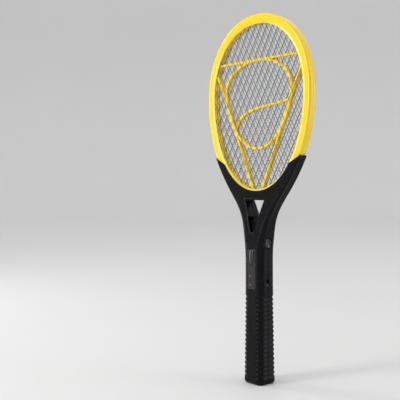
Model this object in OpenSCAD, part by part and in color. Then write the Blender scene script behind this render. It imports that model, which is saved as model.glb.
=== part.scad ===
// Electric fly swatter: an oval head with three wire meshes, held by a black
// two-shell handle that carries the cells, the circuit and the controls.
// Millimetres. The handle stands on its flat foot at z = 0, and -Y is the front.

/* [Overall] */
// Height from the foot to the top of the rim
total_h = 480; // [470:1:600]

/* [Head] */
// Width of the oval rim
head_w = 187.6; // [160:0.1:230]
// Rise of the rim above its widest line
head_top = 103.7; // [90:0.1:125]
// Drop of the rim below its widest line
head_low = 134.3; // [112:0.1:160]
// Squareness of the oval, where 2 is an ellipse
head_n = 2.07; // [2:0.01:2.4]
// Width of the rim, seen from the front
rim_w = 12.3; // [11:0.1:15]
// Thickness of the rim, front to back
rim_d = 12.4; // [11:0.1:15]
// Solid outer part of the rim, which the screws pass through
rim_wall = 6; // [5:0.1:7.5]
// Clearance round the pieces that lie in the rim
rim_gap = 0.3; // [0.2:0.05:0.5]

/* [Meshes] */
// Thickness of the front and rear meshes
mesh_t = 0.6; // [0.4:0.1:0.8]
// Thickness of the live mesh in the middle
centre_t = 0.8; // [0.5:0.1:1.2]
// Space between the live mesh and an outer mesh
mesh_space = 3; // [2.4:0.1:3.6]
// Width of one diamond cell
cell_w = 11.3; // [8:0.1:15]
// Height of one diamond cell
cell_h = 19.4; // [14:0.1:26]
// Width of a strand of the mesh
strand_w = 1.1; // [0.8:0.1:1.6]
// Width of the ribs that keep the meshes apart
rib_w = 3.2; // [2.5:0.1:4.5]

/* [Handle] */
// Width of the handle at its foot
foot_w = 34.4; // [32:0.1:40]
// Depth of the handle at its foot
foot_d = 31.8; // [30:0.1:37]
// Width of the handle at the controls
grip_w = 32.4; // [30:0.1:38]
// Depth of the handle at the controls
grip_d = 28.2; // [26.6:0.1:33]
// Wall of the two shells
wall = 2.2; // [1.8:0.1:2.4]
// Height of the finger ribs on the grip
finger_rib = 1; // [0.5:0.1:1]
// Spacing of the finger ribs
finger_pitch = 6; // [5:0.5:8]
// Length of the ribbed grip
grip_len = 110; // [90:1:120]

/* [Yoke] */
// Thickness of the yoke arms, front to back
yoke_d = 16.2; // [15:0.1:19]
// Height of the arm tips above the lowest point of the rim
tip_up = 54.5; // [40:0.1:65]
// Lip of the rim that the yoke leaves uncovered
yoke_lip = 2.2; // [1.5:0.1:3.5]
// Height of the triangular window
window_h = 19; // [14:0.5:22]
// Half width of the window at its top
window_half = 17; // [15:0.5:19]

/* [Controls] */
// Width of the front control panel
panel_w = 15; // [14:0.1:16]
// Length of the front control panel
panel_len = 53; // [50:0.5:58]
// Width of the front push button
button_w = 9; // [8:0.1:10]
// Length of the front push button
button_len = 20.6; // [17:0.1:22]
// Travel of the front push button
button_travel = 0.8; // [0.5:0.1:0.9]
// Diameter of the round side button
side_button_dia = 11.6; // [9:0.1:12]
// Travel of the round side button
side_travel = 1.2; // [0.8:0.1:1.4]
// Width of the slide switch slot
slot_w = 3.6; // [3:0.1:4.5]
// Length of the slide switch slot
slot_len = 10.4; // [9.6:0.1:12]
// Travel of the slide switch
slide_travel = 4.5; // [3:0.1:4.5]
// Diameter of an indicator lamp
led_dia = 3; // [2:0.1:4]
// Clearance round a piece that moves
run_gap = 0.2; // [0.15:0.05:0.3]

/* [Battery] */
// Diameter of one AA cell
cell_dia = 14.4; // [13.5:0.1:14.5]
// Length of one AA cell with its cap
cell_len = 50.4; // [49:0.1:50.5]
// Width of the battery door
door_w = 21; // [19:0.1:22]
// Thickness of the battery door
door_t = 1.8; // [1.5:0.1:2]
// Distance that the battery door slides
door_travel = 8; // [6:0.5:9]

/* [Hidden] */

$fn = 48;
far = 150;                       // more than half of any size, for cuts that run right through
outline_steps = 96;              // straight steps round the oval
curve_steps = 14;                // straight steps along a curved rib
head_z = total_h - head_top;     // height of the widest line of the head
head_base = head_z - head_low;   // lowest point of the rim
open_half = head_w / 2 - rim_w;  // half width of the opening in the rim
open_top = head_top - rim_w;     // rise of the opening
open_low = head_low - rim_w;     // drop of the opening

// Layers of the head, measured from the middle outwards
spacer_in = centre_t / 2;
spacer_out = spacer_in + mesh_space;
mesh_out = spacer_out + mesh_t;
mesh_edge = rim_wall + 0.8;      // inset of a mesh's edge from the outside of the rim
spacer_edge = rim_w - 0.5;       // inset of the spacer's inner edge
rim_screws_n = 8;
rim_screw_r = 1;

// Neck and yoke
neck_z = head_base - 84.3;       // where the neck starts to widen
neck_reach = 79;
tip_reach = 76;
tip_angle = 27;                  // lean of the arm's outer edge at its tip
tip_cut = 2.5 * rim_w;
arm_out = 1.2;                   // how far the tips stand out from the rim
tip_z = head_base + tip_up;
tip_x = oval_x(tip_z) + arm_out;
neck_curve = [
    [grip_w / 2, neck_z],
    [grip_w / 2, neck_z + neck_reach],
    [tip_x - tip_reach * sin(tip_angle), tip_z - tip_reach * cos(tip_angle)],
    [tip_x, tip_z]
];
throat_low = head_base - 62;     // where the handle starts to grow thinner
throat_high = head_base + 10;
depth_curve = [
    [grip_d / 2, throat_low],
    [grip_d / 2, throat_low + 26],
    [yoke_d / 2, throat_high - 38],
    [yoke_d / 2, throat_high]
];
taper_z = 130;                   // the grip's taper ends here
foot_round = 3;
ribs_z = 8;                      // first finger rib
inner_inset = wall + finger_rib; // from the outer surface to the cavity
arm_wall = 1.6;
rim_fit = 0.1;                   // clearance between the rim and the yoke
tip_ease = 0.8;                  // the rim is straight for this much below the tips
groove_d = 0.9;                  // depth of the groove along the arms
groove_half = 4.5;
groove_z = head_base - 41;

// Window and pocket under the head
window_top = head_base - 2;
window_low = window_top - window_h;
web_t = 2.2;                     // bar between the window and the pocket
pocket_low = window_top - 41.5;
pocket_d = 5;
window_wall = 2;
// Shares of the way down, each with its share of the half width
window_taper = [[0, 1], [0.22, 0.77], [0.43, 0.57], [0.58, 0.51], [0.8, 0.35], [1, 0.12]];

// Controls, placed down from the neck
side_button_z = neck_z + 26.3;
side_recess_r = side_button_dia / 2 + 0.9;
side_recess_d = 1.4;
button_z = neck_z + 8.3;
panel_top = neck_z + 19.3;
panel_z = panel_top - panel_len / 2;
panel_t = 1.5;
panel_face = grip_d / 2 + 0.2;
led_x = -3.2;
led_z = [neck_z - 16.7, neck_z - 28.2];
slot_z = neck_z - 25.9;
front_inner = grip_d / 2 - inner_inset;  // inner face of the front wall
side_inner = grip_w / 2 - inner_inset;   // inner face of the side wall
side_flange = 1;                 // thickness of the flange that keeps the side button in
side_back = side_inner - 1.2 - side_flange;  // inner face of the side button
switch_gap = 0.1;                // between a button pressed home and its switch

// Circuit board, parallel to the front face
board_t = 1.6;
board_front = -6;
board_rear = board_front + board_t;
board_half = 8.8;
board_low = neck_z - 30.7;
board_high = neck_z + 31.3;
board_screw_at = [[-6.8, neck_z + 27.3], [6.8, neck_z - 12.7]];
boss_r = 3.2;
screw_r = 1.1;
screw_head_r = 2.1;

// Battery bay
bay_low = 13;
spring_len = 4;
cell_y = 1.2;
lower_cell_z = bay_low + spring_len;
upper_cell_z = lower_cell_z + cell_len;
plate_z = upper_cell_z + cell_len;
plate_t = 0.6;
door_face = grip_d / 2 - 0.4;    // distance of the door's outer face from the middle
door_low = 18;
door_high = plate_z + 1;
rail_y = door_face - door_t - 0.1;   // floor of the door's channel
rail_wall = 1.6;
tongue_half = 7.4;               // half width of the tongue on the door's inner face
tongue_h = 1.4;
bay_open = [door_low + 1, plate_z - 0.5];    // ends of the opening that the door covers
bulkhead_t = 2;
bulkhead_z = [bay_low - plate_t - bulkhead_t, plate_z + plate_t];
cradle_t = 1.6;
cradle_z = [for (z = [lower_cell_z, upper_cell_z], k = [0.25, 0.75]) z + k * cell_len];
shell_screw_at = [[0, 6], [-6.6, door_high + 3.6], [6.6, door_high + 3.6],
    [-29, head_base - 4], [29, head_base - 4]];
screw_sink = 3;                  // depth of a shell screw's head below the surface
lead_r = 0.6;
lead_lane = [-10.8, cell_y - 8]; // where the battery leads run up beside the cells
lead_gap = 0.8;                  // room round a lead that passes through a wall
lead_x = 23;                     // distance of the mesh leads from the middle

// ---------- curves ----------

function lerp(a, b, t) = a + (b - a) * t;

// Point at t of the cubic curve with the four control points p
function bez(p, t) =
    pow(1 - t, 3) * p[0] + 3 * pow(1 - t, 2) * t * p[1] + 3 * (1 - t) * t * t * p[2] + t * t * t * p[3];

// Parameter at which a rising curve reaches the height z
function bez_t(p, z, lo = 0, hi = 1, n = 22) =
    let (m = (lo + hi) / 2)
    n == 0 ? m : bez(p, m)[1] < z ? bez_t(p, z, m, hi, n - 1) : bez_t(p, z, lo, m, n - 1);

function bez_x(p, z) = bez(p, bez_t(p, z))[0];

function signed_pow(v, e) = sign(v) * pow(abs(v), e);

// Point of the head's oval at an angle, moved in by an inset
function oval_at(angle, inset) = [
    (head_w / 2 - inset) * signed_pow(cos(angle), 2 / head_n),
    head_z + ((sin(angle) > 0 ? head_top : head_low) - inset) * signed_pow(sin(angle), 2 / head_n)
];

// Half width of the oval's lower half at the height z
function oval_x(z) = head_w / 2 * pow(1 - pow((head_z - z) / head_low, head_n), 1 / head_n);

// Height of the oval's lower half at a distance from the middle, moved in by an inset
function oval_low_z(x, inset) =
    head_z - (head_low - inset) * pow(1 - pow(x / (head_w / 2 - inset), head_n), 1 / head_n);

// Place in the opening, in shares of its half width and of its rise or drop
function in_opening(p) = [p[0] * open_half, head_z + p[1] * (p[1] > 0 ? open_top : open_low)];

function corner_r(z) = z < throat_low ? 8.5 : lerp(8.5, 3, min(1, (z - throat_low) / (throat_high - throat_low)));

function half_w(z) = z > neck_z ? bez_x(neck_curve, z) : lerp(foot_w / 2, grip_w / 2, min(1, z / taper_z));

function half_d(z) =
    z >= throat_high ? yoke_d / 2 :
    z > throat_low ? bez_x(depth_curve, z) : lerp(foot_d / 2, grip_d / 2, min(1, z / taper_z));

// Half size of the section along its diagonal
function half_s(z) = (half_w(z) + half_d(z) - 2 * corner_r(z)) * sqrt(1 / 2) + corner_r(z);

function foot_in(z) = z < foot_round ? foot_round - sqrt(pow(foot_round, 2) - pow(foot_round - z, 2)) : 0;

// Depth of the valleys between the finger ribs
function rib_in(z) =
    let (k = (z - ribs_z) / finger_pitch)
    k > 0 && z < ribs_z + grip_len ? finger_rib * (0.5 - 0.5 * cos(360 * k)) : 0;

outer_levels = concat(
    [0, 0.4, 1.2, foot_round],
    [for (k = [0 : floor(grip_len / finger_pitch) * 2]) ribs_z + k * finger_pitch / 2],
    [for (k = [0 : 2]) lerp(taper_z, neck_z, k / 2)],
    [for (k = [1 : 16]) lerp(neck_z, tip_z, k / 16)]
);
inner_levels = concat(
    [foot_round, taper_z, neck_z],
    [for (k = [1 : 10]) lerp(neck_z, tip_z, k / 10)]
);

// ---------- plain solids ----------

// A drawing in X and Z, given a thickness from y0 to y1
module slab(y0, y1) {
    translate([0, y1, 0])
        rotate([90, 0, 0])
            linear_extrude(y1 - y0)
                children();
}

module rod_y(x, z, r, y0, y1) {
    translate([x, y1, z])
        rotate([90, 0, 0])
            cylinder(h = y1 - y0, r = r);
}

module rod_x(y, z, r, x0, x1) {
    translate([x0, y, z])
        rotate([0, 90, 0])
            cylinder(h = x1 - x0, r = r);
}

module block(x, y, z) {
    translate([x[0], y[0], z[0]])
        cube([x[1] - x[0], y[1] - y[0], z[1] - z[0]]);
}

// Round-ended slot in X and Z
module stadium(w, len) {
    square([w, len - w], center = true);
    for (s = [-1, 1])
        translate([0, s * (len - w) / 2])
            circle(d = w);
}

module oval(inset) {
    polygon([for (i = [0 : outline_steps - 1]) oval_at(360 * i / outline_steps, inset)]);
}

module oval_ring(outer, inner) {
    difference() {
        oval(outer);
        oval(inner);
    }
}

// Even strip along a line of points
module ribbon(points, w) {
    last = len(points) - 1;
    normals = [for (i = [0 : last])
        let (d = points[min(i + 1, last)] - points[max(i - 1, 0)])
        [-d[1], d[0]] / norm(d)];
    polygon(concat(
        [for (i = [0 : last]) points[i] + normals[i] * w / 2],
        [for (i = [last : -1 : 0]) points[i] - normals[i] * w / 2]
    ));
}

module curved_rib(controls) {
    p = [for (c = controls) in_opening(c)];
    ribbon([for (i = [0 : curve_steps]) bez(p, i / curve_steps)], rib_w);
}

// Wire along a line of points in X and Z that stays off the Y direction
module wire(points, r) {
    sides = 8;
    last = len(points) - 1;
    rings = [for (i = [0 : last])
        let (
            d = points[min(i + 1, last)] - points[max(i - 1, 0)],
            u = cross(d, [0, 1, 0]) / norm(cross(d, [0, 1, 0])),
            v = cross(u, d) / norm(d)
        )
        for (k = [0 : sides - 1]) points[i] + r * (u * cos(360 * k / sides) + v * sin(360 * k / sides))];
    walls = [for (i = [0 : last - 1], k = [0 : sides - 1])
        let (a = i * sides + k, b = i * sides + (k + 1) % sides)
        [a, a + sides, b + sides, b]];
    polyhedron(rings, concat(
        walls,
        [[for (k = [0 : sides - 1]) k]],
        [[for (k = [sides - 1 : -1 : 0]) last * sides + k]]
    ));
}

// ---------- head ----------

module rim_screw_places() {
    for (i = [0 : rim_screws_n - 1]) {
        p = oval_at(-62 + i * 304 / (rim_screws_n - 1), rim_wall / 2 + 0.2);
        translate([p[0], 0, p[1]])
            children();
    }
}

// What the yoke takes away from the rim
module yoke_relief() {
    slab(-far, far)
        difference() {
            translate([-far, 0])
                square([2 * far, tip_z + rim_fit]);
            front_outline(arm_wall + rim_fit, outer_levels);
            translate([arm_wall + rim_fit - tip_x, tip_z - tip_ease])
                square([2 * (tip_x - arm_wall - rim_fit), tip_ease + rim_fit]);
        }
}

// Holes low in the rim for the two mesh leads
module lead_holes() {
    for (s = [-1, 1])
        translate([s * lead_x, 0, head_base - 4])
            cylinder(h = 18, r = lead_r + lead_gap);
}

module rim_half() {
    difference() {
        union() {
            slab(-rim_d / 2, -rim_d / 2 + 1.2)
                oval_ring(1.2, rim_w);
            slab(-rim_d / 2 + 1.2, -mesh_out)
                oval_ring(0, rim_w);
            slab(-mesh_out, 0)
                oval_ring(0, rim_wall);
        }
        yoke_relief();
        lead_holes();
        rim_screw_places()
            rod_y(0, 0, rim_screw_r, -4.4, far);
    }
}

module front_rim() {
    color("gold")
        rim_half();
}

module rear_rim() {
    color("gold")
        difference() {
            mirror([0, 1, 0])
                rim_half();
            rim_screw_places() {
                rod_y(0, 0, rim_screw_r, -1, far);
                rod_y(0, 0, 1.9, rim_d / 2 - 1.7, far);
            }
        }
}

module rib_drawing() {
    crossbar = in_opening([0, 0.495])[1];
    translate([-far, crossbar - rib_w / 2])
        square([2 * far, rib_w]);
    curved_rib([[0.7, -0.08], [0.123, -0.15], [-0.344, -0.1], [-0.503, -0.347]]);
    for (s = [-1, 1]) {
        curved_rib([[0, 0.495], [s * 0.405, 0.495], [s * 0.73, 0.314], [s * 0.73, 0.084]]);
        curved_rib([[s * 0.73, 0.084], [s * 0.73, -0.216], [s * 0.417, -0.568], [0, -0.568]]);
        curved_rib([[s * 0.08, -1.035], [s * 0.614, -0.216], [s * 0.76, 0.019], [s * 0.98, 0.39]]);
    }
}

module spacer_drawing() {
    oval_ring(rim_wall + rim_gap, spacer_edge);
    intersection() {
        oval(spacer_edge - 1);
        rib_drawing();
    }
}

// Spacer between y0 and y1, cleared round the two leads
module spacer(y0, y1) {
    color("gold")
        difference() {
            slab(y0, y1)
                spacer_drawing();
            lead_holes();
        }
}

module front_spacer() {
    spacer(-spacer_out, -spacer_in);
}

module rear_spacer() {
    spacer(spacer_in, spacer_out);
}

function inside_oval(p, inset) =
    let (v = p[1] - head_z)
    pow(abs(p[0]) / (head_w / 2 - inset), head_n)
        + pow(abs(v) / ((v > 0 ? head_top : head_low) - inset), head_n) < 1;

// Sheet of diamond cells, moved sideways and up by a phase
module mesh_sheet(y0, y1, phase) {
    lean = atan2(cell_h, cell_w);
    hx = cell_w / 2 - strand_w / 2 / sin(lean);
    hy = cell_h / 2 - strand_w / 2 / cos(lean);
    corners = [[hx, 0], [0, hy], [-hx, 0], [0, -hy]];
    columns = ceil(head_w / cell_w / 2);
    rows = ceil(head_low / cell_h * 2);
    centres = [for (j = [-rows : rows], i = [-columns : columns])
        [(i + phase[0] + (j % 2 == 0 ? 0 : 0.5)) * cell_w, head_z + (j + phase[1]) * cell_h / 2]];
    cells = [for (c = centres)
        if (min([for (k = corners) inside_oval(c + k, rim_w - 1.5) ? 1 : 0]) == 1) c];
    rim_points = [for (i = [0 : outline_steps - 1]) oval_at(360 * i / outline_steps, mesh_edge)];
    slab(y0, y1)
        polygon(
            concat(rim_points, [for (c = cells, k = corners) c + k]),
            concat([[for (i = [0 : outline_steps - 1]) i]],
                [for (n = [0 : len(cells) - 1]) [for (k = [0 : 3]) outline_steps + n * 4 + k]])
        );
}

module front_mesh() {
    color("dimgray")
        mesh_sheet(-mesh_out, -spacer_out, [0, 0]);
}

module centre_mesh() {
    color("dimgray")
        mesh_sheet(-spacer_in, spacer_in, [0.5, 0.5]);
}

module rear_mesh() {
    color("dimgray")
        mesh_sheet(spacer_out, mesh_out, [0, 0]);
}

module rim_screws() {
    color("silver")
        rim_screw_places() {
            rod_y(0, 0, rim_screw_r, -4.4, rim_d / 2 - 1.7);
            difference() {
                rod_y(0, 0, 1.8, rim_d / 2 - 1.7, rim_d / 2 - 0.4);
                rod_y(0, 0, 0.6, rim_d / 2 - 1, rim_d);
            }
        }
}

// ---------- handle shells ----------

// Outline of the handle and yoke, seen from the front
module front_outline(inset, levels) {
    right = [for (z = levels) [half_w(z) - foot_in(z) - (inset > 0 ? 0 : rib_in(z)) - inset, z]];
    mirrored_outline(right);
}

module mirrored_outline(right) {
    last = len(right) - 1;
    polygon(concat(right, [for (i = [last : -1 : 0]) [-right[i][0], right[i][1]]]));
}

module diagonal_outline(inset, levels) {
    slab(-far, far)
        mirrored_outline([for (z = levels)
            [half_s(z) - foot_in(z) - (inset > 0 ? 0 : rib_in(z)) - inset, z]]);
}

// Solid of the handle and yoke, moved in by an inset
module handle_solid(inset, levels) {
    intersection() {
        slab(-far, far)
            front_outline(inset, levels);
        translate([-far, 0, 0])
            rotate([90, 0, 90])
                linear_extrude(2 * far)
                    mirrored_outline([for (z = levels) [half_d(z) - foot_in(z) - inset, z]]);
        rotate([0, 0, 45])
            diagonal_outline(inset, levels);
        rotate([0, 0, -45])
            diagonal_outline(inset, levels);
    }
}

// Triangle of the window and the pocket, grown by an amount
module window_drawing(grow) {
    last = len(window_taper) - 1;
    side = [for (t = window_taper) [window_half * t[1], lerp(window_top, pocket_low, t[0])]];
    grown = [for (i = [0 : last]) side[i] + [grow, i == 0 ? grow : i == last ? -grow : 0]];
    mirrored_outline([for (i = [last : -1 : 0]) grown[i]]);
}

module window_part(low, high, grow) {
    intersection() {
        window_drawing(grow);
        translate([-far, low])
            square([2 * far, high - low]);
    }
}

// Groove along the outer edge of each arm
module arm_grooves() {
    slab(-groove_half, groove_half)
        difference() {
            translate([-far, groove_z])
                square([2 * far, tip_z - groove_z - 9]);
            front_outline(groove_d, outer_levels);
        }
}

// What is cut away above the ends of the arms, which are square to the arms
module tip_cuts() {
    slab(-far, far)
        for (s = [-1, 1])
            translate([s * tip_x, tip_z])
                rotate(s * tip_angle)
                    translate([-tip_cut, 0])
                        square([2 * tip_cut, tip_cut]);
}

// Space inside both shells
module cavity() {
    difference() {
        handle_solid(inner_inset, inner_levels);
        slab(-far, far)
            window_part(window_low - web_t, window_top + 1, window_wall);
        slab(-far, -half_d(pocket_low) + pocket_d + 1.6)
            window_part(pocket_low, window_low, window_wall);
        block([-far, far], [-far, far], [tip_z - 4, tip_z + 1]);
        for (p = shell_screw_at)
            rod_y(p[0], p[1], boss_r, -far, far);
        battery_walls();
    }
}

// Bulkheads that hold the contacts, and cradles under the cells
module battery_walls() {
    difference() {
        for (z = bulkhead_z)
            block([-far, far], [-far, far], [z, z + bulkhead_t]);
        lead_passage();
    }
    difference() {
        for (z = cradle_z)
            block([-far, far], [-far, -1], [z, z + cradle_t]);
        translate([0, cell_y, 0])
            cylinder(h = plate_z, d = cell_dia + 0.4);
        lead_passage();
    }
}

module lead_passage() {
    translate([lead_lane[0], lead_lane[1], bay_low])
        cylinder(h = door_high, r = lead_r + lead_gap);
}

module rim_space() {
    slab(-rim_d / 2 - rim_fit, rim_d / 2 + rim_fit)
        intersection() {
            oval(-0.2);
            front_outline(arm_wall, outer_levels);
        }
}

// What both shells have cut from them
module shell_cuts() {
    cavity();
    rim_space();
    slab(-far, far)
        oval(rim_w - yoke_lip);
    slab(-far, far)
        window_part(window_low, window_top, 0);
    arm_grooves();
    tip_cuts();
    rod_x(0, side_button_z, side_recess_r, half_w(side_button_z) - side_recess_d, far);
    rod_x(0, side_button_z, side_button_dia / 2 + run_gap, side_inner - 1, far);
    block([side_inner - 1, far], [-slot_w / 2, slot_w / 2], [slot_z - slot_len / 2, slot_z + slot_len / 2]);
}

module control_cuts() {
    slab(-far, -panel_face + panel_t)
        translate([0, panel_z])
            offset_panel(0.1);
    slab(-far, 0)
        translate([0, button_z])
            stadium(button_w + 2 * run_gap, button_len + 2 * run_gap);
    for (z = led_z)
        rod_y(led_x, z, led_dia / 2 + 0.05, -far, -front_inner + 1);
}

// Panel with its corners cut
module offset_panel(grow) {
    w = panel_w / 2 + grow;
    h = panel_len / 2 + grow;
    c = 2;
    polygon([[w, h - c], [w - c, h], [c - w, h], [-w, h - c], [-w, c - h], [c - w, -h], [w - c, -h], [w, c - h]]);
}

module front_shell() {
    color("#222226")
        difference() {
            intersection() {
                handle_solid(0, outer_levels);
                block([-far, far], [-far, 0], [-1, total_h]);
            }
            difference() {
                shell_cuts();
                for (p = board_screw_at)
                    rod_y(p[0], p[1], 2.2, -far, board_front);
            }
            slab(-far, -half_d(pocket_low) + pocket_d)
                window_part(pocket_low, window_low - web_t, 0);
            control_cuts();
            for (p = shell_screw_at)
                rod_y(p[0], p[1], screw_r, min(-4, -half_d(p[1]) + 6), 1);
            for (p = board_screw_at)
                rod_y(p[0], p[1], 0.8, board_front - 3, board_front + 1);
        }
}

// Channel and opening for the battery door
module door_channel() {
    block([-door_w / 2 - run_gap, door_w / 2 + run_gap], [rail_y, far],
        [door_low - door_travel - 0.4, door_high + run_gap]);
    block([-tongue_half - 0.4, tongue_half + 0.4], [0, far], bay_open);
}

module rear_shell() {
    color("#222226")
        difference() {
            union() {
                difference() {
                    intersection() {
                        handle_solid(0, outer_levels);
                        block([-far, far], [0, far], [-1, total_h]);
                    }
                    shell_cuts();
                }
                intersection() {
                    handle_solid(wall, inner_levels);
                    block([-far, far], [rail_y - rail_wall, rail_y + 0.5], [foot_round, door_high + 3]);
                }
            }
            door_channel();
            for (p = shell_screw_at) {
                rod_y(p[0], p[1], screw_r + 0.2, -1, far);
                rod_y(p[0], p[1], screw_head_r + 0.2, half_d(p[1]) - screw_sink, far);
            }
        }
}

module shell_screws() {
    color("silver")
        for (p = shell_screw_at) {
            seat = half_d(p[1]) - screw_sink;
            rod_y(p[0], p[1], screw_r, min(-4, -half_d(p[1]) + 6), seat);
            difference() {
                rod_y(p[0], p[1], screw_head_r, seat, seat + 1.4);
                rod_y(p[0], p[1], 0.7, seat + 0.6, seat + 2);
            }
        }
}

module battery_door() {
    grips = 5;
    color("#26262a")
        difference() {
            union() {
                block([-door_w / 2, door_w / 2], [rail_y + 0.1, door_face], [door_low, door_high]);
                block([-tongue_half, tongue_half], [rail_y - tongue_h, rail_y + 0.2],
                    [bay_open[0] + door_travel + 0.3, bay_open[1] - 0.3]);
            }
            for (i = [0 : grips - 1])
                block([-5, 5], [door_face - 0.5, far], [door_high - 8 - i * 2.4, door_high - 6.8 - i * 2.4]);
        }
}

// ---------- controls ----------

module control_panel() {
    color("#18181b")
        difference() {
            slab(-panel_face, -panel_face + panel_t)
                translate([0, panel_z])
                    offset_panel(0);
            slab(-far, 0)
                translate([0, button_z])
                    stadium(button_w + 2 * run_gap, button_len + 2 * run_gap);
            for (z = led_z)
                rod_y(led_x, z, led_dia / 2 + 0.05, -far, 0);
        }
}

module front_button() {
    color("#101013")
        translate([0, 0, button_z]) {
            slab(-panel_face - 1, -front_inner + 0.6)
                stadium(button_w, button_len);
            slab(-front_inner + 0.1, -front_inner + 1)
                stadium(button_w + 2, button_len + 2);
        }
}

module side_button() {
    face = half_w(side_button_z) - 0.5;
    color("#17171a")
        difference() {
            union() {
                rod_x(0, side_button_z, side_button_dia / 2, side_back, face);
                rod_x(0, side_button_z, side_button_dia / 2 + 0.8, side_back, side_back + side_flange);
            }
            translate([face + 17, 0, side_button_z])
                sphere(r = 17.6, $fn = 64);
        }
}

module slide_knob() {
    knob_len = slot_len - slide_travel - 0.4;
    low = slot_z - slot_len / 2 + run_gap;
    color("#101013") {
        block([side_inner - 0.6, grip_w / 2 - 0.4], [-slot_w / 2 + run_gap, slot_w / 2 - run_gap],
            [low, low + knob_len]);
        block([side_inner - 1.4, side_inner - 0.5], [-3, 3], [low - 4.4, low + knob_len + 4.6]);
        block([side_inner - 2.2, side_inner - 1.3], [-0.8, 0.8], [low + 1.5, low + 3.5]);
    }
}

module indicator_leds() {
    color("red")
        for (z = led_z) {
            rod_y(led_x, z, led_dia / 2, -panel_face - 0.4, -front_inner + 2);
            for (s = [-1, 1])
                rod_y(led_x + s * 0.8, z, 0.25, -front_inner + 2, board_front);
        }
}

// ---------- electronics ----------

module circuit_board() {
    color("darkgreen")
        difference() {
            block([-board_half, board_half], [board_front, board_rear], [board_low, board_high]);
            for (p = board_screw_at)
                rod_y(p[0], p[1], 1, -far, far);
        }
}

module board_screws() {
    color("silver")
        for (p = board_screw_at) {
            rod_y(p[0], p[1], 0.8, board_front - 3, board_rear);
            rod_y(p[0], p[1], 1.7, board_rear, board_rear + 1);
        }
}

module front_switch() {
    top = -front_inner + 1 + button_travel + switch_gap;
    color("#2b2b2b") {
        block([-3, 3], [top + 0.6, board_front], [button_z - 3, button_z + 3]);
        rod_y(0, button_z, 1.7, top, top + 0.6);
    }
}

module side_switch() {
    top = side_back - side_travel - switch_gap;
    color("#2b2b2b") {
        block([top - 3.6, top - 0.8], [board_rear, 3.6], [side_button_z - 3.2, side_button_z + 3.2]);
        rod_x(0, side_button_z, 1.7, top - 0.8, top);
    }
}

module slide_switch() {
    color("silver")
        difference() {
            block([side_inner - 6, side_inner - 1.6], [board_rear, 3.4], [slot_z - 5.2, slot_z + 6]);
            block([side_inner - 2.4, far], [-1, 1], [slot_z - 4, slot_z + 5]);
        }
}

module step_up_transformer() {
    z = neck_z - 1;
    color("saddlebrown")
        block([-7, 5], [board_rear, board_rear + 1.4], [z - 6, z + 6]);
    color("dimgray")
        difference() {
            block([-6, 4], [board_rear + 1.4, board_rear + 10], [z - 6.5, z + 6.5]);
            block([-far, far], [board_rear + 3.2, board_rear + 8.2], [z - 4.3, z + 4.3]);
        }
    color("peru")
        rod_y(-1, z, 4.2, board_rear + 3.2, board_rear + 8.2);
}

module storage_capacitor() {
    color("firebrick") {
        block([-8, 6], [board_rear + 0.6, board_rear + 8], [neck_z + 10, neck_z + 19]);
        for (s = [-1, 1])
            rod_y(-1 + s * 5, neck_z + 14.5, 0.3, board_rear, board_rear + 0.6);
    }
}

module pulse_capacitors() {
    color("goldenrod")
        for (i = [0, 1])
            rod_y(-5.8 + i * 5.6, neck_z - 19, 2.4, board_rear, board_rear + 6);
}

module rectifier_diodes() {
    color("#1c1c1c")
        for (i = [0 : 2])
            rod_x(board_rear + 1.2, neck_z - 14.4 + i * 2.5, 1, -7, -3);
}

module resistors() {
    color("tan")
        for (i = [0 : 2])
            rod_x(board_rear + 1.1, neck_z + 21.5 + i * 2.6, 0.9, -3, 2.6);
}

module transistor() {
    color("#1c1c1c")
        difference() {
            rod_y(-1, neck_z - 26.2, 2.2, board_rear, board_rear + 5);
            block([0.2, far], [-far, far], [0, total_h]);
        }
}

module aa_cell(z, shade) {
    color(shade)
        translate([0, cell_y, z]) {
            cylinder(h = cell_len - 1.2, d = cell_dia);
            cylinder(h = cell_len, d = 5.4);
        }
}

module upper_cell() {
    aa_cell(upper_cell_z, "slategray");
}

module lower_cell() {
    aa_cell(lower_cell_z, "slategray");
}

module battery_spring() {
    turns = 3;
    color("silver") {
        translate([0, cell_y, bay_low - 0.6])
            translate([-5, -5, 0])
                cube([10, 10, 0.6]);
        translate([0, cell_y, bay_low])
            difference() {
                cylinder(h = spring_len, r = 4);
                translate([0, 0, -1])
                    cylinder(h = spring_len + 2, r = 3);
                for (i = [1 : turns])
                    translate([0, -6, i * 1.15 - 0.45])
                        cube([12, 12, 0.6]);
            }
    }
}

module battery_plate() {
    color("silver")
        block([-5, 5], [cell_y - 5, cell_y + 5], [plate_z, plate_z + plate_t]);
}

// Lead from the board through the neck to one side of the head
module mesh_lead(side) {
    wire([
        [side * 3.2, board_rear + lead_r, board_high - 3],
        [side * 4.5, -2, board_high + 3],
        [side * 9, 0, board_high + 11],
        [side * 15.6, 0, head_base - 30],
        [side * (lead_x - 1.5), 0, head_base - 18],
        [side * lead_x, 0, head_base - 10],
        [side * lead_x, 0, oval_low_z(lead_x, mesh_edge) - 0.1]
    ], lead_r);
}

module high_voltage_lead() {
    color("crimson")
        mesh_lead(-1);
}

module ground_lead() {
    color("#202020")
        mesh_lead(1);
}

module battery_leads() {
    color("crimson")
        wire([
            [-5 - lead_r, cell_y - 3, bay_low + 0.1],
            [lead_lane[0] + 2, cell_y - 5, bay_low + 1.4],
            [lead_lane[0], lead_lane[1], bay_low + 6],
            [lead_lane[0], lead_lane[1], board_low - 5],
            [lead_lane[0], board_rear + lead_r, board_low - 1],
            [-8, board_rear + lead_r, board_low + 1],
            [-8, board_rear + lead_r, board_low + 4]
        ], lead_r);
}

// ---------- the object ----------

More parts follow.
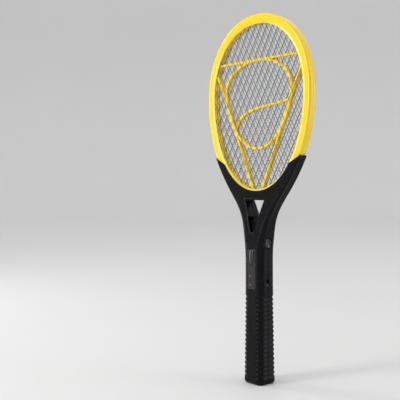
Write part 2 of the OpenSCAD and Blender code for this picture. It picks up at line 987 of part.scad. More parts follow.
front_rim();
rear_rim();
front_spacer();
rear_spacer();
front_mesh();
centre_mesh();
rear_mesh();
rim_screws();
front_shell();
rear_shell();
shell_screws();
battery_door();
control_panel();
front_button();
side_button();
slide_knob();
indicator_leds();
circuit_board();
board_screws();
front_switch();
side_switch();
slide_switch();
step_up_transformer();
storage_capacitor();
pulse_capacitors();
rectifier_diodes();
resistors();
transistor();
upper_cell();
lower_cell();
battery_spring();
battery_plate();
high_voltage_lead();
ground_lead();
battery_leads();
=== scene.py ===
"""Visual model of an electric fly swatter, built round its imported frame.

The moulded plastics are drawn as distance fields and meshed smoothly. The rims, wire
meshes, leads and screws grow from Geometry Nodes, and turned pieces are spun from
profiles. Sizes in the classes are millimetres, and finished meshes are metres.
"""

import logging
import math
from collections.abc import Callable, Sequence
from dataclasses import dataclass
from enum import Enum
from functools import cached_property, reduce

import bmesh
import bpy
import numpy as np
from mathutils import Matrix, Vector


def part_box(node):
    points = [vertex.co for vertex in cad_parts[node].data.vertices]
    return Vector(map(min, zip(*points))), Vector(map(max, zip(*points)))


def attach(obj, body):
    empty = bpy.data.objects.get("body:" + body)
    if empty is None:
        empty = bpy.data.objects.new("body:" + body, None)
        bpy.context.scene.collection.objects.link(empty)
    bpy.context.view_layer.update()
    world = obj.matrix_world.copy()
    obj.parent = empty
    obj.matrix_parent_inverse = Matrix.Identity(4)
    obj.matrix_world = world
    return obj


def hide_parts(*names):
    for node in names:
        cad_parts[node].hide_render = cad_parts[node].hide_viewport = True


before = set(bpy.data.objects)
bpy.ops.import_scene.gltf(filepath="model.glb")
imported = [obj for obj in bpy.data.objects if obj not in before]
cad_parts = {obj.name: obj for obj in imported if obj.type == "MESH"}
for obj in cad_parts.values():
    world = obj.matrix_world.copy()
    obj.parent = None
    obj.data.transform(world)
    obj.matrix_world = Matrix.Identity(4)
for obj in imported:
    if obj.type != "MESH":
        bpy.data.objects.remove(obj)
log = logging.getLogger("fly_swatter")

MM = 0.001
RELAX = 0.6  # share of the way to its neighbours' middle that settling moves a point
LEAST_SLOPE = 0.15  # least squared slope that a distance is divided by
STRIDE = 0.4  # longest move of a settling point, in grid cells
NOISE_RANGE = (0.3, 0.7)  # where most values of a noise lie
PROBE = 0.06  # half width of the stretch that a field's slope is taken over, in millimetres

Array = np.ndarray
Object, Material = bpy.types.Object, bpy.types.Material
Node, Socket = bpy.types.Node, bpy.types.NodeSocket
Field = Callable[[Array, Array, Array], Array]
Point = tuple[float, float]
Triple = tuple[float, float, float]
Colour = Triple
Inputs = dict[str | int, object]


class Body(Enum):
    """The bodies of the frame that pieces ride on."""

    HANDLE = "handle"
    FRONT_BUTTON = "front_button"
    SIDE_BUTTON = "side_button"
    POWER_SLIDER = "power_slider"
    BATTERY_DOOR = "battery_door"


class Side(Enum):
    """The two halves that the object is moulded in, by the sign of their Y."""

    FRONT = -1
    REAR = 1


# ---------- shapes as numbers ----------


def lerp(a: float, b: float, t: Array | float) -> Array | float:
    """Value between a and b at the share t."""
    return a + (b - a) * t


def smooth_step(v: Array, low: float, high: float) -> Array:
    """Share that rises smoothly from 0 at low to 1 at high."""
    t = np.clip((v - low) / (high - low), 0, 1)
    return t * t * (3 - 2 * t)


def smooth_max(a: Array, b: Array, r: float) -> Array:
    """Larger of two distances, rounded over about r where they meet."""
    h = np.clip(0.5 + 0.5 * (a - b) / r, 0, 1)
    return b + (a - b) * h + r * h * (1 - h)


def smooth_min(a: Array, b: Array, r: float) -> Array:
    """Smaller of two distances, filleted over about r where they meet."""
    return -smooth_max(-a, -b, r)


def meet(*fields: Array) -> Array:
    """Distance outside what lies in all of some forms."""
    return reduce(np.maximum, fields)


def cut(a: Array, b: Array, r: float = 0.3) -> Array:
    """Distance of a with b taken away, with the new edge rounded over about r."""
    return smooth_max(a, -b, r)


def box_distance(p: Array, low: float, high: float) -> Array:
    """Distance along one axis from the stretch between low and high."""
    return np.abs(p - (low + high) / 2) - (high - low) / 2


def cubic(controls: Sequence[Point], steps: int) -> Array:
    """Points along a cubic curve.

    Args:
        controls: The four control points.
        steps: How many stretches the curve is cut into.

    Returns:
        An array of steps + 1 points.
    """
    t = np.linspace(0, 1, steps + 1)[:, None]
    p = np.array(controls, float)
    return (1 - t) ** 3 * p[0] + 3 * (1 - t) ** 2 * t * p[1] + 3 * (1 - t) * t**2 * p[2] + t**3 * p[3]


def stadium(u: Array, v: Array, width: float, length: float) -> Array:
    """Distance from a round-ended slot whose length runs along v."""
    return np.hypot(u, np.maximum(np.abs(v) - (length - width) / 2, 0)) - width / 2


def rounded_outline(points: Sequence[Point], radii: Sequence[float], steps: int = 5) -> list[Point]:
    """Closed outline with its corners rounded.

    Args:
        points: The corners, in order.
        radii: The rounding of each corner, with 0 for a sharp one.
        steps: Stretches in each rounded corner.

    Returns:
        The points of the rounded outline.
    """
    found: list[Point] = []
    for i, (corner, radius) in enumerate(zip(points, radii)):
        here = Vector(corner)
        if radius <= 0:
            found.append(tuple(here))
            continue
        before = (Vector(points[i - 1]) - here).normalized()
        after = (Vector(points[(i + 1) % len(points)]) - here).normalized()
        reach = radius / math.tan(max(before.angle(after) / 2, 0.05))
        for k in range(steps + 1):
            t = k / steps
            start, end = here + before * reach, here + after * reach
            found.append(tuple(start * (1 - t) ** 2 + here * 2 * t * (1 - t) + end * t**2))
    return found


# ---------- meshes ----------


def placed(name: str, data: bpy.types.ID) -> Object:
    """Object with the given data, linked to the scene."""
    made = bpy.data.objects.new(name, data)
    bpy.context.scene.collection.objects.link(made)
    return made


def mesh_object(name: str, points: Array, faces: Sequence[Sequence[int]] | Array) -> Object:
    """Object at the origin with a smooth mesh.

    Args:
        name: Name of the piece.
        points: Places of the vertices, in metres.
        faces: Vertex numbers of each face, or an array of quads.

    Returns:
        The new object, linked to the scene.
    """
    mesh = bpy.data.meshes.new(name)
    if isinstance(faces, Array):
        mesh.vertices.add(len(points))
        mesh.vertices.foreach_set("co", np.asarray(points, np.float32).ravel())
        mesh.loops.add(faces.size)
        mesh.loops.foreach_set("vertex_index", faces.astype(np.int32).ravel())
        mesh.polygons.add(len(faces))
        mesh.polygons.foreach_set("loop_start", np.arange(0, faces.size, faces.shape[1], dtype=np.int32))
        mesh.update(calc_edges=True)
    else:
        mesh.from_pydata([tuple(p) for p in points], [], [tuple(f) for f in faces])
    mesh.validate()
    mesh.shade_smooth()
    return placed(name, mesh)


def corners_of_cell() -> list[tuple[int, int, int]]:
    """The eight corners of a unit cell."""
    return [(i, j, k) for i in (0, 1) for j in (0, 1) for k in (0, 1)]


def net_points(values: Array, cells: Array) -> Array:
    """Middle of the places where a cell's edges cross the surface, in cell units.

    Args:
        values: The distance at each grid point.
        cells: Index of each cell that the surface passes through.

    Returns:
        One point for each cell.
    """
    total = np.zeros(cells.shape)
    count = np.zeros(len(cells))
    for a in corners_of_cell():
        for axis in range(3):
            if a[axis]:
                continue
            b = np.array(a) + np.eye(3, dtype=int)[axis]
            va = values[tuple((cells + a).T)]
            vb = values[tuple((cells + b).T)]
            crossed = (va < 0) != (vb < 0)
            share = np.where(crossed, va / np.where(crossed, va - vb, 1), 0)
            total += crossed[:, None] * (np.array(a) + share[:, None] * (b - np.array(a)))
            count += crossed
    return cells + total / count[:, None]


def net_faces(inside: Array, index: Array) -> Array:
    """Quads between the cells that share a crossed grid edge, all facing outwards.

    Args:
        inside: Whether each grid point is in the solid.
        index: The vertex number of each cell.

    Returns:
        An array of quads.
    """
    found = []
    for axis in range(3):
        u, w = (axis + 1) % 3, (axis + 2) % 3
        near = [slice(1, -1)] * 3
        far = list(near)
        near[axis] = slice(None, -1)
        far[axis] = slice(1, None)
        a, b = inside[tuple(near)], inside[tuple(far)]
        at = np.argwhere(a != b)
        leaves = a[tuple(at.T)]
        at[:, u] += 1
        at[:, w] += 1
        quad = []
        for du, dw in ((-1, -1), (0, -1), (0, 0), (-1, 0)):
            cell = at.copy()
            cell[:, u] += du
            cell[:, w] += dw
            quad.append(index[tuple(cell.T)])
        quad = np.stack(quad, 1)
        quad[~leaves] = quad[~leaves][:, ::-1]
        found.append(quad)
    return np.concatenate(found)


def settle(points: Array, quads: Array, solid: Field, pitch: float) -> Array:
    """Evens out a net of points and draws it onto the true surface.

    Args:
        points: The points, in millimetres.
        quads: The faces between them.
        solid: The distance field.
        pitch: Size of a grid cell.

    Returns:
        The settled points.
    """
    edges = np.concatenate([quads[:, [k, (k + 1) % 4]] for k in range(4)])
    degree = np.bincount(edges.ravel(), minlength=len(points))[:, None]
    steps = np.eye(3) * PROBE
    for turn in range(4):
        if turn < 2:
            total = np.zeros(points.shape)
            for k in range(3):
                total[:, k] = np.bincount(edges[:, 0], points[edges[:, 1], k], len(points))
                total[:, k] += np.bincount(edges[:, 1], points[edges[:, 0], k], len(points))
            points = points + RELAX * (total / degree - points)
        here = solid(*points.T)
        rises = [solid(*(points + step).T) - solid(*(points - step).T) for step in steps]
        slope = np.stack(rises, 1) / (2 * PROBE)
        size = np.maximum((slope**2).sum(1), LEAST_SLOPE)
        move = np.clip(here / size, -STRIDE * pitch, STRIDE * pitch)
        points = points - move[:, None] * slope
    return points


def moulded(name: str, solid: Field, low: Sequence[float], high: Sequence[float], pitch: float) -> Object:
    """Mesh of the solid where a distance field is negative.

    Args:
        name: Name of the piece.
        solid: Distance field in millimetres, which takes arrays that broadcast.
        low: Lowest corner of a box round the solid.
        high: Highest corner of that box.
        pitch: Size of a grid cell.

    Returns:
        The new object.
    """
    axes = [np.arange(a - 1.5 * pitch, b + 2.5 * pitch, pitch) for a, b in zip(low, high)]
    x, y, z = axes[0][:, None, None], axes[1][None, :, None], axes[2][None, None, :]
    shape = tuple(len(a) for a in axes)
    values = np.array(np.broadcast_to(solid(x, y, z), shape), np.float32)
    inside = values < 0
    cells_shape = tuple(n - 1 for n in shape)
    count = np.zeros(cells_shape, np.int8)
    for c in corners_of_cell():
        count += inside[tuple(slice(o, o + n) for o, n in zip(c, cells_shape))]
    crossed = (count > 0) & (count < 8)
    cells = np.argwhere(crossed)
    index = np.full(cells_shape, -1, np.int64)
    index[crossed] = np.arange(len(cells))
    start = np.array([a[0] for a in axes])
    points = start + net_points(values, cells) * pitch
    quads = net_faces(inside, index)
    points = settle(points, quads, solid, pitch)
    log.info("%s: %d faces", name, len(quads))
    return mesh_object(name, points * MM, quads)


def cast(name: str, solid: Field, node: str, pitch: float) -> Object:
    """Mesh of a distance field, in the box of the CAD node that it stands for."""
    low, high = (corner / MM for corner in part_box(node))
    return moulded(name, solid, low, high, pitch)


def turned(name: str, profile: Sequence[Point], sides: int, place: Matrix) -> Object:
    """Piece spun about an axis.

    Args:
        name: Name of the piece.
        profile: Distance from the axis and height along it, from the low end to the
            high end, in millimetres. An end on the axis closes the piece.
        sides: Faces round the axis.
        place: Takes the axis, which is Z, to its place in millimetres.

    Returns:
        The new object.
    """
    points: list[Vector] = []
    rings: list[list[int]] = []
    for radius, height in profile:
        if radius < 1e-6:
            rings.append([len(points)])
            points.append(Vector((0, 0, height)))
            continue
        rings.append(list(range(len(points), len(points) + sides)))
        for k in range(sides):
            angle = 2 * math.pi * k / sides
            points.append(Vector((radius * math.cos(angle), radius * math.sin(angle), height)))
    faces = []
    for a, b in zip(rings, rings[1:]):
        for k in range(sides):
            n = (k + 1) % sides
            quad = [a[k % len(a)], a[n % len(a)], b[n % len(b)], b[k % len(b)]]
            faces.append(list(dict.fromkeys(quad)))
    return mesh_object(name, np.array([(place @ p) * MM for p in points]), faces)


def joined(name: str, parts: Sequence[Object]) -> Object:
    """Joins pieces into one, and removes them.

    Args:
        name: Name of the joined piece.
        parts: The pieces.

    Returns:
        The new object.
    """
    points: list[tuple[float, ...]] = []
    faces: list[list[int]] = []
    for part in parts:
        start = len(points)
        points += [tuple(v.co) for v in part.data.vertices]
        faces += [[start + i for i in face.vertices] for face in part.data.polygons]
        bpy.data.objects.remove(part)
    return mesh_object(name, np.array(points), faces)


def face_outwards(piece: Object) -> None:
    """Turns the faces of a closed mesh outwards, going by its volume."""
    form = bmesh.new()
    form.from_mesh(piece.data)
    if form.calc_volume(signed=True) < 0:
        bmesh.ops.reverse_faces(form, faces=form.faces)
    form.to_mesh(piece.data)
    form.free()


# ---------- Geometry Nodes ----------


def join(tree: bpy.types.NodeTree, value: object, socket: Socket) -> None:
    """Links a socket to an input, or sets the input's value."""
    if isinstance(value, Socket):
        tree.links.new(value, socket)
    else:
        socket.default_value = value


def add_node(tree: bpy.types.NodeTree, kind: str, inputs: Inputs, settings: dict[str, object]) -> Node:
    """Adds a node to a tree.

    Args:
        tree: The tree.
        kind: The node's full type.
        inputs: A value or a socket for each input, by name or number.
        settings: The node's own properties.

    Returns:
        The node.
    """
    made = tree.nodes.new(kind)
    for key, value in settings.items():
        setattr(made, key, value)
    for key, value in inputs.items():
        join(tree, value, made.inputs[key])
    return made


class Graph:
    """A Geometry Nodes tree that is being wired up."""

    def __init__(self, name: str) -> None:
        """Starts an empty tree with a geometry input and output."""
        self.tree = bpy.data.node_groups.new(name, "GeometryNodeTree")
        self.tree.is_modifier = True
        self.tree.interface.new_socket("Geometry", in_out="INPUT", socket_type="NodeSocketGeometry")
        self.tree.interface.new_socket("Geometry", in_out="OUTPUT", socket_type="NodeSocketGeometry")
        self.entry = self.tree.nodes.new("NodeGroupInput")
        self.given: dict[str, object] = {}

    @property
    def geometry(self) -> Socket:
        """The geometry that the modifier is given."""
        return self.entry.outputs["Geometry"]

    def input(self, name: str, value: object, kind: str = "Float") -> Socket:
        """Adds a named input.

        Args:
            name: The input's name.
            value: What the modifier gives it.
            kind: Float, Int, Vector, Object or Material.

        Returns:
            The socket inside the tree.
        """
        self.tree.interface.new_socket(name, in_out="INPUT", socket_type="NodeSocket" + kind)
        self.given[name] = value
        return self.entry.outputs[name]

    def node(self, kind: str, inputs: Inputs | None = None, **settings: object) -> Node:
        """Adds a node.

        Args:
            kind: The node's type, without its prefix where that is GeometryNode.
            inputs: A value or a socket for each input, by name.
            **settings: The node's own properties.

        Returns:
            The node.
        """
        full = kind if kind.startswith("Shader") else "GeometryNode" + kind
        return add_node(self.tree, full, inputs or {}, settings)

    def out(self, kind: str, inputs: Inputs | None = None, **settings: object) -> Socket:
        """Adds a node and returns its first output."""
        return self.node(kind, inputs, **settings).outputs[0]

    def ring(self, resolution: object, radius: object) -> Socket:
        """Adds a circle."""
        return self.out("CurvePrimitiveCircle", {"Resolution": resolution, "Radius": radius})

    def tube(self, path: Socket, profile: Socket, **more: object) -> Socket:
        """Sweeps a profile along a path and caps its ends."""
        return self.out("CurveToMesh", {"Curve": path, "Profile Curve": profile, "Fill Caps": True, **more})

    def shape(self, name: str, piece: Object) -> Socket:
        """Adds an object input and returns the object's geometry."""
        return self.node("ObjectInfo", {"Object": self.input(name, piece, "Object")}).outputs["Geometry"]

    def math(self, operation: str, *values: object) -> Socket:
        """Adds a Math node and returns its result."""
        return self.out("ShaderNodeMath", dict(enumerate(values)), operation=operation)

    def vector(self, x: object, y: object, z: object) -> Socket:
        """Joins three numbers into a vector."""
        return self.out("ShaderNodeCombineXYZ", {"X": x, "Y": y, "Z": z})

    def place(self) -> bpy.types.bpy_prop_collection:
        """X, Y and Z of the points."""
        return self.node("ShaderNodeSeparateXYZ", {"Vector": self.out("InputPosition")}).outputs

    def finish(self, geometry: Socket, material: Material) -> None:
        """Ends the tree with smooth shading, Realize Instances and Set Material."""
        finish = self.input("Material", material, "Material")
        smooth = self.out("SetShadeSmooth", {"Geometry": geometry})
        real = self.out("RealizeInstances", {"Geometry": smooth})
        dressed = self.out("SetMaterial", {"Geometry": real, "Material": finish})
        self.tree.links.new(dressed, self.tree.nodes.new("NodeGroupOutput").inputs["Geometry"])

    def grow(self, name: str, points: Sequence[Triple] = (), edges: Sequence[Point] = ()) -> Object:
        """Runs the tree and keeps its result as a plain mesh.

        Args:
            name: Name of the piece.
            points: Vertices of the mesh that the tree is given, in metres.
            edges: Its edges.

        Returns:
            The finished object.
        """
        base = bpy.data.meshes.new(name)
        base.from_pydata([tuple(p) for p in points], [tuple(e) for e in edges], [])
        made = placed(name, base)
        modifier = made.modifiers.new("Grow", "NODES")
        modifier.node_group = self.tree
        for item in self.tree.interface.items_tree:
            if item.in_out == "INPUT" and item.name in self.given:
                modifier[item.identifier] = self.given[item.name]
        graph = bpy.context.evaluated_depsgraph_get()
        result = bpy.data.meshes.new_from_object(made.evaluated_get(graph), depsgraph=graph)
        made.modifiers.remove(modifier)
        made.data = result
        log.info("%s: %d faces", name, len(result.polygons))
        return made


# ---------- finishes ----------


class Shader:
    """A material's node tree that is being wired up."""

    def __init__(self, name: str) -> None:
        """Starts a material with a Principled BSDF and Object coordinates."""
        self.material = bpy.data.materials.new(name)
        self.material.use_nodes = True
        self.tree = self.material.node_tree
        self.surface = self.tree.nodes["Principled BSDF"]
        self.place = self.tree.nodes.new("ShaderNodeTexCoord").outputs["Object"]

    def put(self, kind: str, inputs: Inputs, **settings: object) -> Node:
        """Adds a shader node with its inputs given as values or sockets."""
        return add_node(self.tree, "ShaderNode" + kind, inputs, settings)

    def noise(self, scale: float, detail: float = 3.0, stretch: Triple = (1, 1, 1)) -> Socket:
        """Noise on Object coordinates, with scale in cells to the metre."""
        place = self.place
        if stretch != (1, 1, 1):
            place = self.put("Mapping", {"Vector": self.place, "Scale": stretch}).outputs[0]
        made = self.put("TexNoise", {"Vector": place, "Scale": scale, "Detail": detail, "Roughness": 0.55})
        return made.outputs["Fac"]

    def spread(self, factor: Socket, low: float, high: float) -> Socket:
        """Takes the middle of a noise's range to the range low to high."""
        limits = {"From Min": NOISE_RANGE[0], "From Max": NOISE_RANGE[1], "To Min": low, "To Max": high}
        return self.put("MapRange", {"Value": factor, **limits}).outputs["Result"]

    def mix(self, factor: object, a: object, b: object) -> Socket:
        """Mixes two colours."""
        return self.put("Mix", {0: factor, 6: a, 7: b}, data_type="RGBA").outputs[2]

    def tint(self, factor: Socket, colour: Colour, drift: float) -> Socket:
        """A colour that drifts darker and lighter."""
        return self.mix(factor, rgba(colour, 1 - drift), rgba(colour, 1 + drift))

    def bump(self, *layers: tuple[Socket, float, float]) -> None:
        """Stacks bumps, each a height, a strength and a depth in metres."""
        below = {}
        for height, strength, depth in layers:
            made = self.put("Bump", {"Height": height, "Strength": strength, "Distance": depth, **below})
            below = {"Normal": made.outputs["Normal"]}
        self.set(**below)

    def set(self, **values: object) -> None:
        """Sets the surface's own inputs, with _ for a space in their names."""
        for key, value in values.items():
            join(self.tree, value, self.surface.inputs[key.replace("_", " ")])


def rgba(colour: Colour, gain: float = 1.0) -> tuple[float, float, float, float]:
    """Colour with full alpha, made lighter or darker by a gain."""
    return (colour[0] * gain, colour[1] * gain, colour[2] * gain, 1.0)


@dataclass(frozen=True)
class Moulding:
    """Injection-moulded plastic with a fine mould texture and worn, handled patches."""

    name: str
    colour: Colour
    roughness: float
    coat: float = 0.0
    coat_roughness: float = 0.1
    grain: float = 2600.0
    grain_depth: float = 0.00002
    grain_strength: float = 0.25
    drift: float = 0.08
    glow: float = 0.0
    shine: float = 0.5

    def make(self) -> Material:
        """Builds the material."""
        s = Shader(self.name)
        broad, smudge, fine = s.noise(14), s.noise(90, 4), s.noise(self.grain, 2)
        tint = s.tint(broad, self.colour, self.drift)
        s.set(Base_Color=tint, Coat_Weight=self.coat, Coat_Roughness=self.coat_roughness)
        s.set(Roughness=s.spread(smudge, self.roughness * 0.85, self.roughness * 1.15), IOR=1.5)
        s.set(Specular_IOR_Level=self.shine)
        if self.glow:
            s.set(Subsurface_Weight=self.glow, Subsurface_Scale=0.0015, Subsurface_Radius=(1.0, 0.6, 0.2))
        s.bump((s.noise(180, 2), 0.06, 0.0003), (fine, self.grain_strength, self.grain_depth))
        return s.material


@dataclass(frozen=True)
class Metal:
    """Bare or dark-finished metal with a drawn grain."""

    name: str
    colour: Colour
    roughness: float
    grain: float = 700.0
    stretch: Triple = (1, 1, 1)
    tarnish: float = 0.25

    def make(self) -> Material:
        """Builds the material."""
        s = Shader(self.name)
        grain = s.noise(self.grain, 3, self.stretch)
        s.set(Base_Color=s.tint(s.noise(60, 4), self.colour, self.tarnish), Metallic=1.0)
        s.set(Roughness=s.spread(grain, self.roughness * 0.75, self.roughness * 1.25))
        s.bump((grain, 0.15, 0.00003))
        return s.material


@dataclass(frozen=True)
class Lens:
    """Clear coloured plastic of an indicator lamp."""

    name: str
    colour: Colour

    def make(self) -> Material:
        """Builds the material."""
        s = Shader(self.name)
        s.set(Base_Color=s.mix(s.noise(400), rgba(self.colour, 0.8), rgba(self.colour, 1.15)))
        s.set(Roughness=0.08, Coat_Weight=1.0, Coat_Roughness=0.03, IOR=1.5)
        s.bump((s.noise(700), 0.05, 0.00005))
        return s.material


@dataclass(frozen=True)
class SolderMask:
    """Green circuit board with lighter copper runs under its mask."""

    name: str
    base: Colour
    run: Colour

    def make(self) -> Material:
        """Builds the material."""
        s = Shader(self.name)
        flat = s.put("Mapping", {"Vector": s.place, "Rotation": (math.radians(90), 0, 0)}).outputs[0]
        colours = {"Color1": (0, 0, 0, 1), "Color2": (0, 0, 0, 1), "Mortar": (1, 1, 1, 1)}
        brick = s.put("TexBrick", {"Vector": flat, "Scale": 220.0, "Mortar Size": 0.06, **colours})
        runs = brick.outputs["Color"]
        s.set(Base_Color=s.mix(runs, rgba(self.base), rgba(self.run)), Roughness=0.35, Coat_Weight=0.4)
        s.bump((runs, 0.3, 0.0001))
        return s.material


YELLOW = Moulding(
    "yellow_gloss_plastic", (0.96, 0.67, 0.01), 0.26, 0.2, 0.12, grain_strength=0.06, drift=0.04, glow=0.06
)
BLACK = Moulding("black_moulded_plastic", (0.0032, 0.0032, 0.0046), 0.27, 0.05, 0.18, drift=0.2, shine=0.1)
GLOSS = Moulding(
    "black_polished_plastic", (0.004, 0.004, 0.005), 0.12, 0.3, 0.05,
    grain_strength=0.02, drift=0.1, shine=0.3,
)
DARK = Moulding("dark_component_plastic", (0.02, 0.02, 0.021), 0.55)
TAN = Moulding("resistor_lacquer", (0.55, 0.38, 0.2), 0.5)
BROWN = Moulding("capacitor_dip", (0.42, 0.055, 0.03), 0.3, 0.5)
AMBER = Moulding("amber_dip", (0.55, 0.27, 0.04), 0.3, 0.5)
RED_SLEEVE = Moulding("red_lead_sleeve", (0.5, 0.015, 0.012), 0.45, grain=900)
BLACK_SLEEVE = Moulding("black_lead_sleeve", (0.012, 0.012, 0.012), 0.5, grain=900)
JACKET = Moulding("cell_jacket", (0.05, 0.11, 0.2), 0.3, 0.6, grain_strength=0.05)
MESH = Metal("dark_mesh_metal", (0.17, 0.175, 0.185), 0.38, 900)
STEEL = Metal("plated_steel", (0.55, 0.55, 0.56), 0.28, 600, (1, 8, 1))
TIN = Metal("switch_tin", (0.6, 0.6, 0.58), 0.3)
COPPER = Metal("copper_winding", (0.7, 0.3, 0.12), 0.3, 300, (1, 14, 1))
RED_LENS = Lens("red_lamp_lens", (0.22, 0.006, 0.006))
MASK = SolderMask("green_circuit_board", (0.008, 0.09, 0.03), (0.02, 0.2, 0.07))


# ---------- the forms that all pieces share ----------


@dataclass(frozen=True)
class Oval:
    """Outline of the head, a squared ellipse that is deeper below its widest line."""

    half_width: float
    rise: float
    drop: float
    middle: float
    squareness: float = 2.07

    def at(self, turn: Array, inset: float = 0.0) -> Array:
        """Points at angles in radians, as rows of X and Z."""
        c, s = np.cos(turn), np.sin(turn)
        power = 2 / self.squareness
        tall = np.where(s > 0, self.rise, self.drop) - inset
        x = (self.half_width - inset) * np.sign(c) * np.abs(c) ** power
        return np.stack([x, self.middle + tall * np.sign(s) * np.abs(s) ** power], -1)

    def distance(self, x: Array, z: Array, inset: float = 0.0) -> Array:
        """Distance outside the oval, moved in by an inset."""
        n = self.squareness
        a = self.half_width - inset
        v = z - self.middle
        b = np.where(v > 0, self.rise, self.drop) - inset
        u, w = np.abs(x) / a, np.abs(v) / b
        total = u**n + w**n + 1e-9
        slope = total ** (1 / n - 1) * np.hypot(u ** (n - 1) / a, w ** (n - 1) / b) + 1e-9
        return (total ** (1 / n) - 1) / slope

    def half_width_at(self, z: float) -> float:
        """Half width at a height in the lower half."""
        share = (self.middle - z) / self.drop
        return self.half_width * (1 - share**self.squareness) ** (1 / self.squareness)


@dataclass(frozen=True)
class HeadSizes:
    """Sizes of the head, with its box taken from the frame."""

    width: float = 2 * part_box("front_rim")[1].x / MM
    top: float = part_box("front_rim")[1].z / MM
    base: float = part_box("front_rim")[0].z / MM
    depth: float = -2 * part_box("front_rim")[0].y / MM
    rise: float = 103.7
    rim_w: float = 12.3
    rim_wall: float = 6.0
    spacer_in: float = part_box("rear_spacer")[0].y / MM
    spacer_out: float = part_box("rear_spacer")[1].y / MM
    mesh_out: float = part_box("rear_mesh")[1].y / MM
    rib_w: float = 3.2
    cell_w: float = 11.3
    cell_h: float = 19.4
    yoke_lip: float = 2.2
    screws: int = 8
    screw_span: Point = (-62, 242)
    screw_sink: float = 1.7

    @cached_property
    def oval(self) -> Oval:
        """The outer edge of the rim."""
        middle = self.top - self.rise
        return Oval(self.width / 2, self.rise, middle - self.base, middle)

    @property
    def screw_seat(self) -> float:
        """Depth at which the heads of the rim screws sit."""
        return self.depth / 2 - self.screw_sink

    @cached_property
    def screw_places(self) -> Array:
        """X and Z of the rim screws, which leave out the yoke."""
        turns = np.radians(np.linspace(*self.screw_span, self.screws))
        return self.oval.at(turns, self.rim_wall / 2 + 0.2)

    def place(self, u: float, v: float) -> Point:
        """Place in the opening, in shares of its half width and its rise or drop."""
        tall = (self.oval.rise if v > 0 else self.oval.drop) - self.rim_w
        return (u * (self.width / 2 - self.rim_w), self.oval.middle + v * tall)


HEAD = HeadSizes()


@dataclass(frozen=True)
class HandleForm:
    """Outer form of the handle and yoke, which both shells share."""

    foot_w: float = 34.4
    foot_d: float = 31.8
    grip_w: float = 32.4
    grip_d: float = 28.2
    yoke_d: float = 16.2
    taper_z: float = 130.0
    tip_z: float = HEAD.base + 54.5
    neck_z: float = HEAD.base - 84.3
    neck_reach: float = 79.0
    tip_reach: float = 76.0
    lean: float = math.radians(27)
    arm_out: float = 1.2
    throat: Point = (HEAD.base - 62, HEAD.base + 10)
    throat_reach: Point = (26, 38)
    corner: Point = (8.5, 3.0)
    rib_low: float = 8.0
    rib_span: float = 108.0
    rib_pitch: float = 6.0
    rib_depth: float = 1.0
    rib_fade: Point = (7.6, 10.4)
    wall: float = 2.2
    arm_wall: float = 2.4
    groove_z: float = HEAD.base - 41
    groove_half: float = 4.5
    groove_depth: float = 0.7
    groove_end: float = 9.0
    foot_round: float = 4.5

    @cached_property
    def tip_x(self) -> float:
        """Half width across the arm tips."""
        return HEAD.oval.half_width_at(self.tip_z) + self.arm_out

    @cached_property
    def neck_curve(self) -> Array:
        """Outer edge from the neck to the tip of an arm, as X and Z."""
        w, low = self.grip_w / 2, self.neck_z
        x, z = self.tip_x, self.tip_z
        before = (x - self.tip_reach * math.sin(self.lean), z - self.tip_reach * math.cos(self.lean))
        return cubic([(w, low), (w, low + self.neck_reach), before, (x, z)], 90)

    @cached_property
    def depth_curve(self) -> Array:
        """Half depth through the throat, as Y and Z."""
        low, high = self.throat
        d, e = self.grip_d / 2, self.yoke_d / 2
        first, last = self.throat_reach
        return cubic([(d, low), (d, low + first), (e, high - last), (e, high)], 60)

    def half_width(self, z: Array) -> Array:
        """Half width at a height."""
        taper = lerp(self.foot_w / 2, self.grip_w / 2, np.clip(z / self.taper_z, 0, 1))
        above = np.interp(z, self.neck_curve[:, 1], self.neck_curve[:, 0])
        beyond = np.maximum(z - self.tip_z, 0) * math.tan(self.lean)
        return np.where(z > self.neck_z, above + beyond, taper)

    def half_depth(self, z: Array) -> Array:
        """Half depth at a height."""
        taper = lerp(self.foot_d / 2, self.grip_d / 2, np.clip(z / self.taper_z, 0, 1))
        above = np.interp(z, self.depth_curve[:, 1], self.depth_curve[:, 0])
        return np.where(z > self.throat[0], above, taper)

    def flank(self, x: Array, z: Array, inset: float = 0.0) -> Array:
        """Distance outside the outer edge, seen from the front."""
        slope = self.half_width(z + 0.5) - self.half_width(z - 0.5)
        return (np.abs(x) - self.half_width(z) + inset) / np.sqrt(1 + slope**2)

    def section(self, x: Array, y: Array, z: Array, inset: float = 0.0) -> Array:
        """Distance outside the rounded section, moved in by an inset."""
        share = np.clip((z - self.throat[0]) / (self.throat[1] - self.throat[0]), 0, 1)
        r = np.maximum(lerp(self.corner[0], self.corner[1], share) - inset, 1.0)
        u = self.flank(x, z, inset) + r
        v = np.abs(y) - self.half_depth(z) + inset + r
        return np.hypot(np.maximum(u, 0), np.maximum(v, 0)) + np.minimum(np.maximum(u, v), 0) - r

    def ribs(self, x: Array, z: Array) -> Array:
        """Depth of the finger ribs' valleys, which fade out on the front and back."""
        wave = 0.5 - 0.5 * np.cos(2 * math.pi * (z - self.rib_low) / self.rib_pitch)
        span = (z > self.rib_low) & (z < self.rib_low + self.rib_span)
        return self.rib_depth * wave * span * smooth_step(np.abs(x), *self.rib_fade)

    def grooves(self, y: Array, z: Array) -> Array:
        """Depth of the groove along the outer edge of each arm."""
        end = self.groove_z + self.groove_half
        high = self.tip_z - self.groove_end - self.groove_half
        past = np.maximum(end - z, 0) + np.maximum(z - high, 0)
        return self.groove_depth * smooth_step(-(np.hypot(y, past) - self.groove_half), -0.35, 0.35)

    def outer(self, x: Array, y: Array, z: Array) -> Array:
        """Distance outside the whole handle and yoke, before anything is cut from it."""
        d = self.section(x, y, z) + self.ribs(x, z) + self.grooves(y, z)
        d = smooth_max(d, -z, self.foot_round)
        tip = (z - self.tip_z) * math.cos(self.lean) - (np.abs(x) - self.tip_x) * math.sin(self.lean)
        return smooth_max(d, tip, 0.6)


FORM = HandleForm()


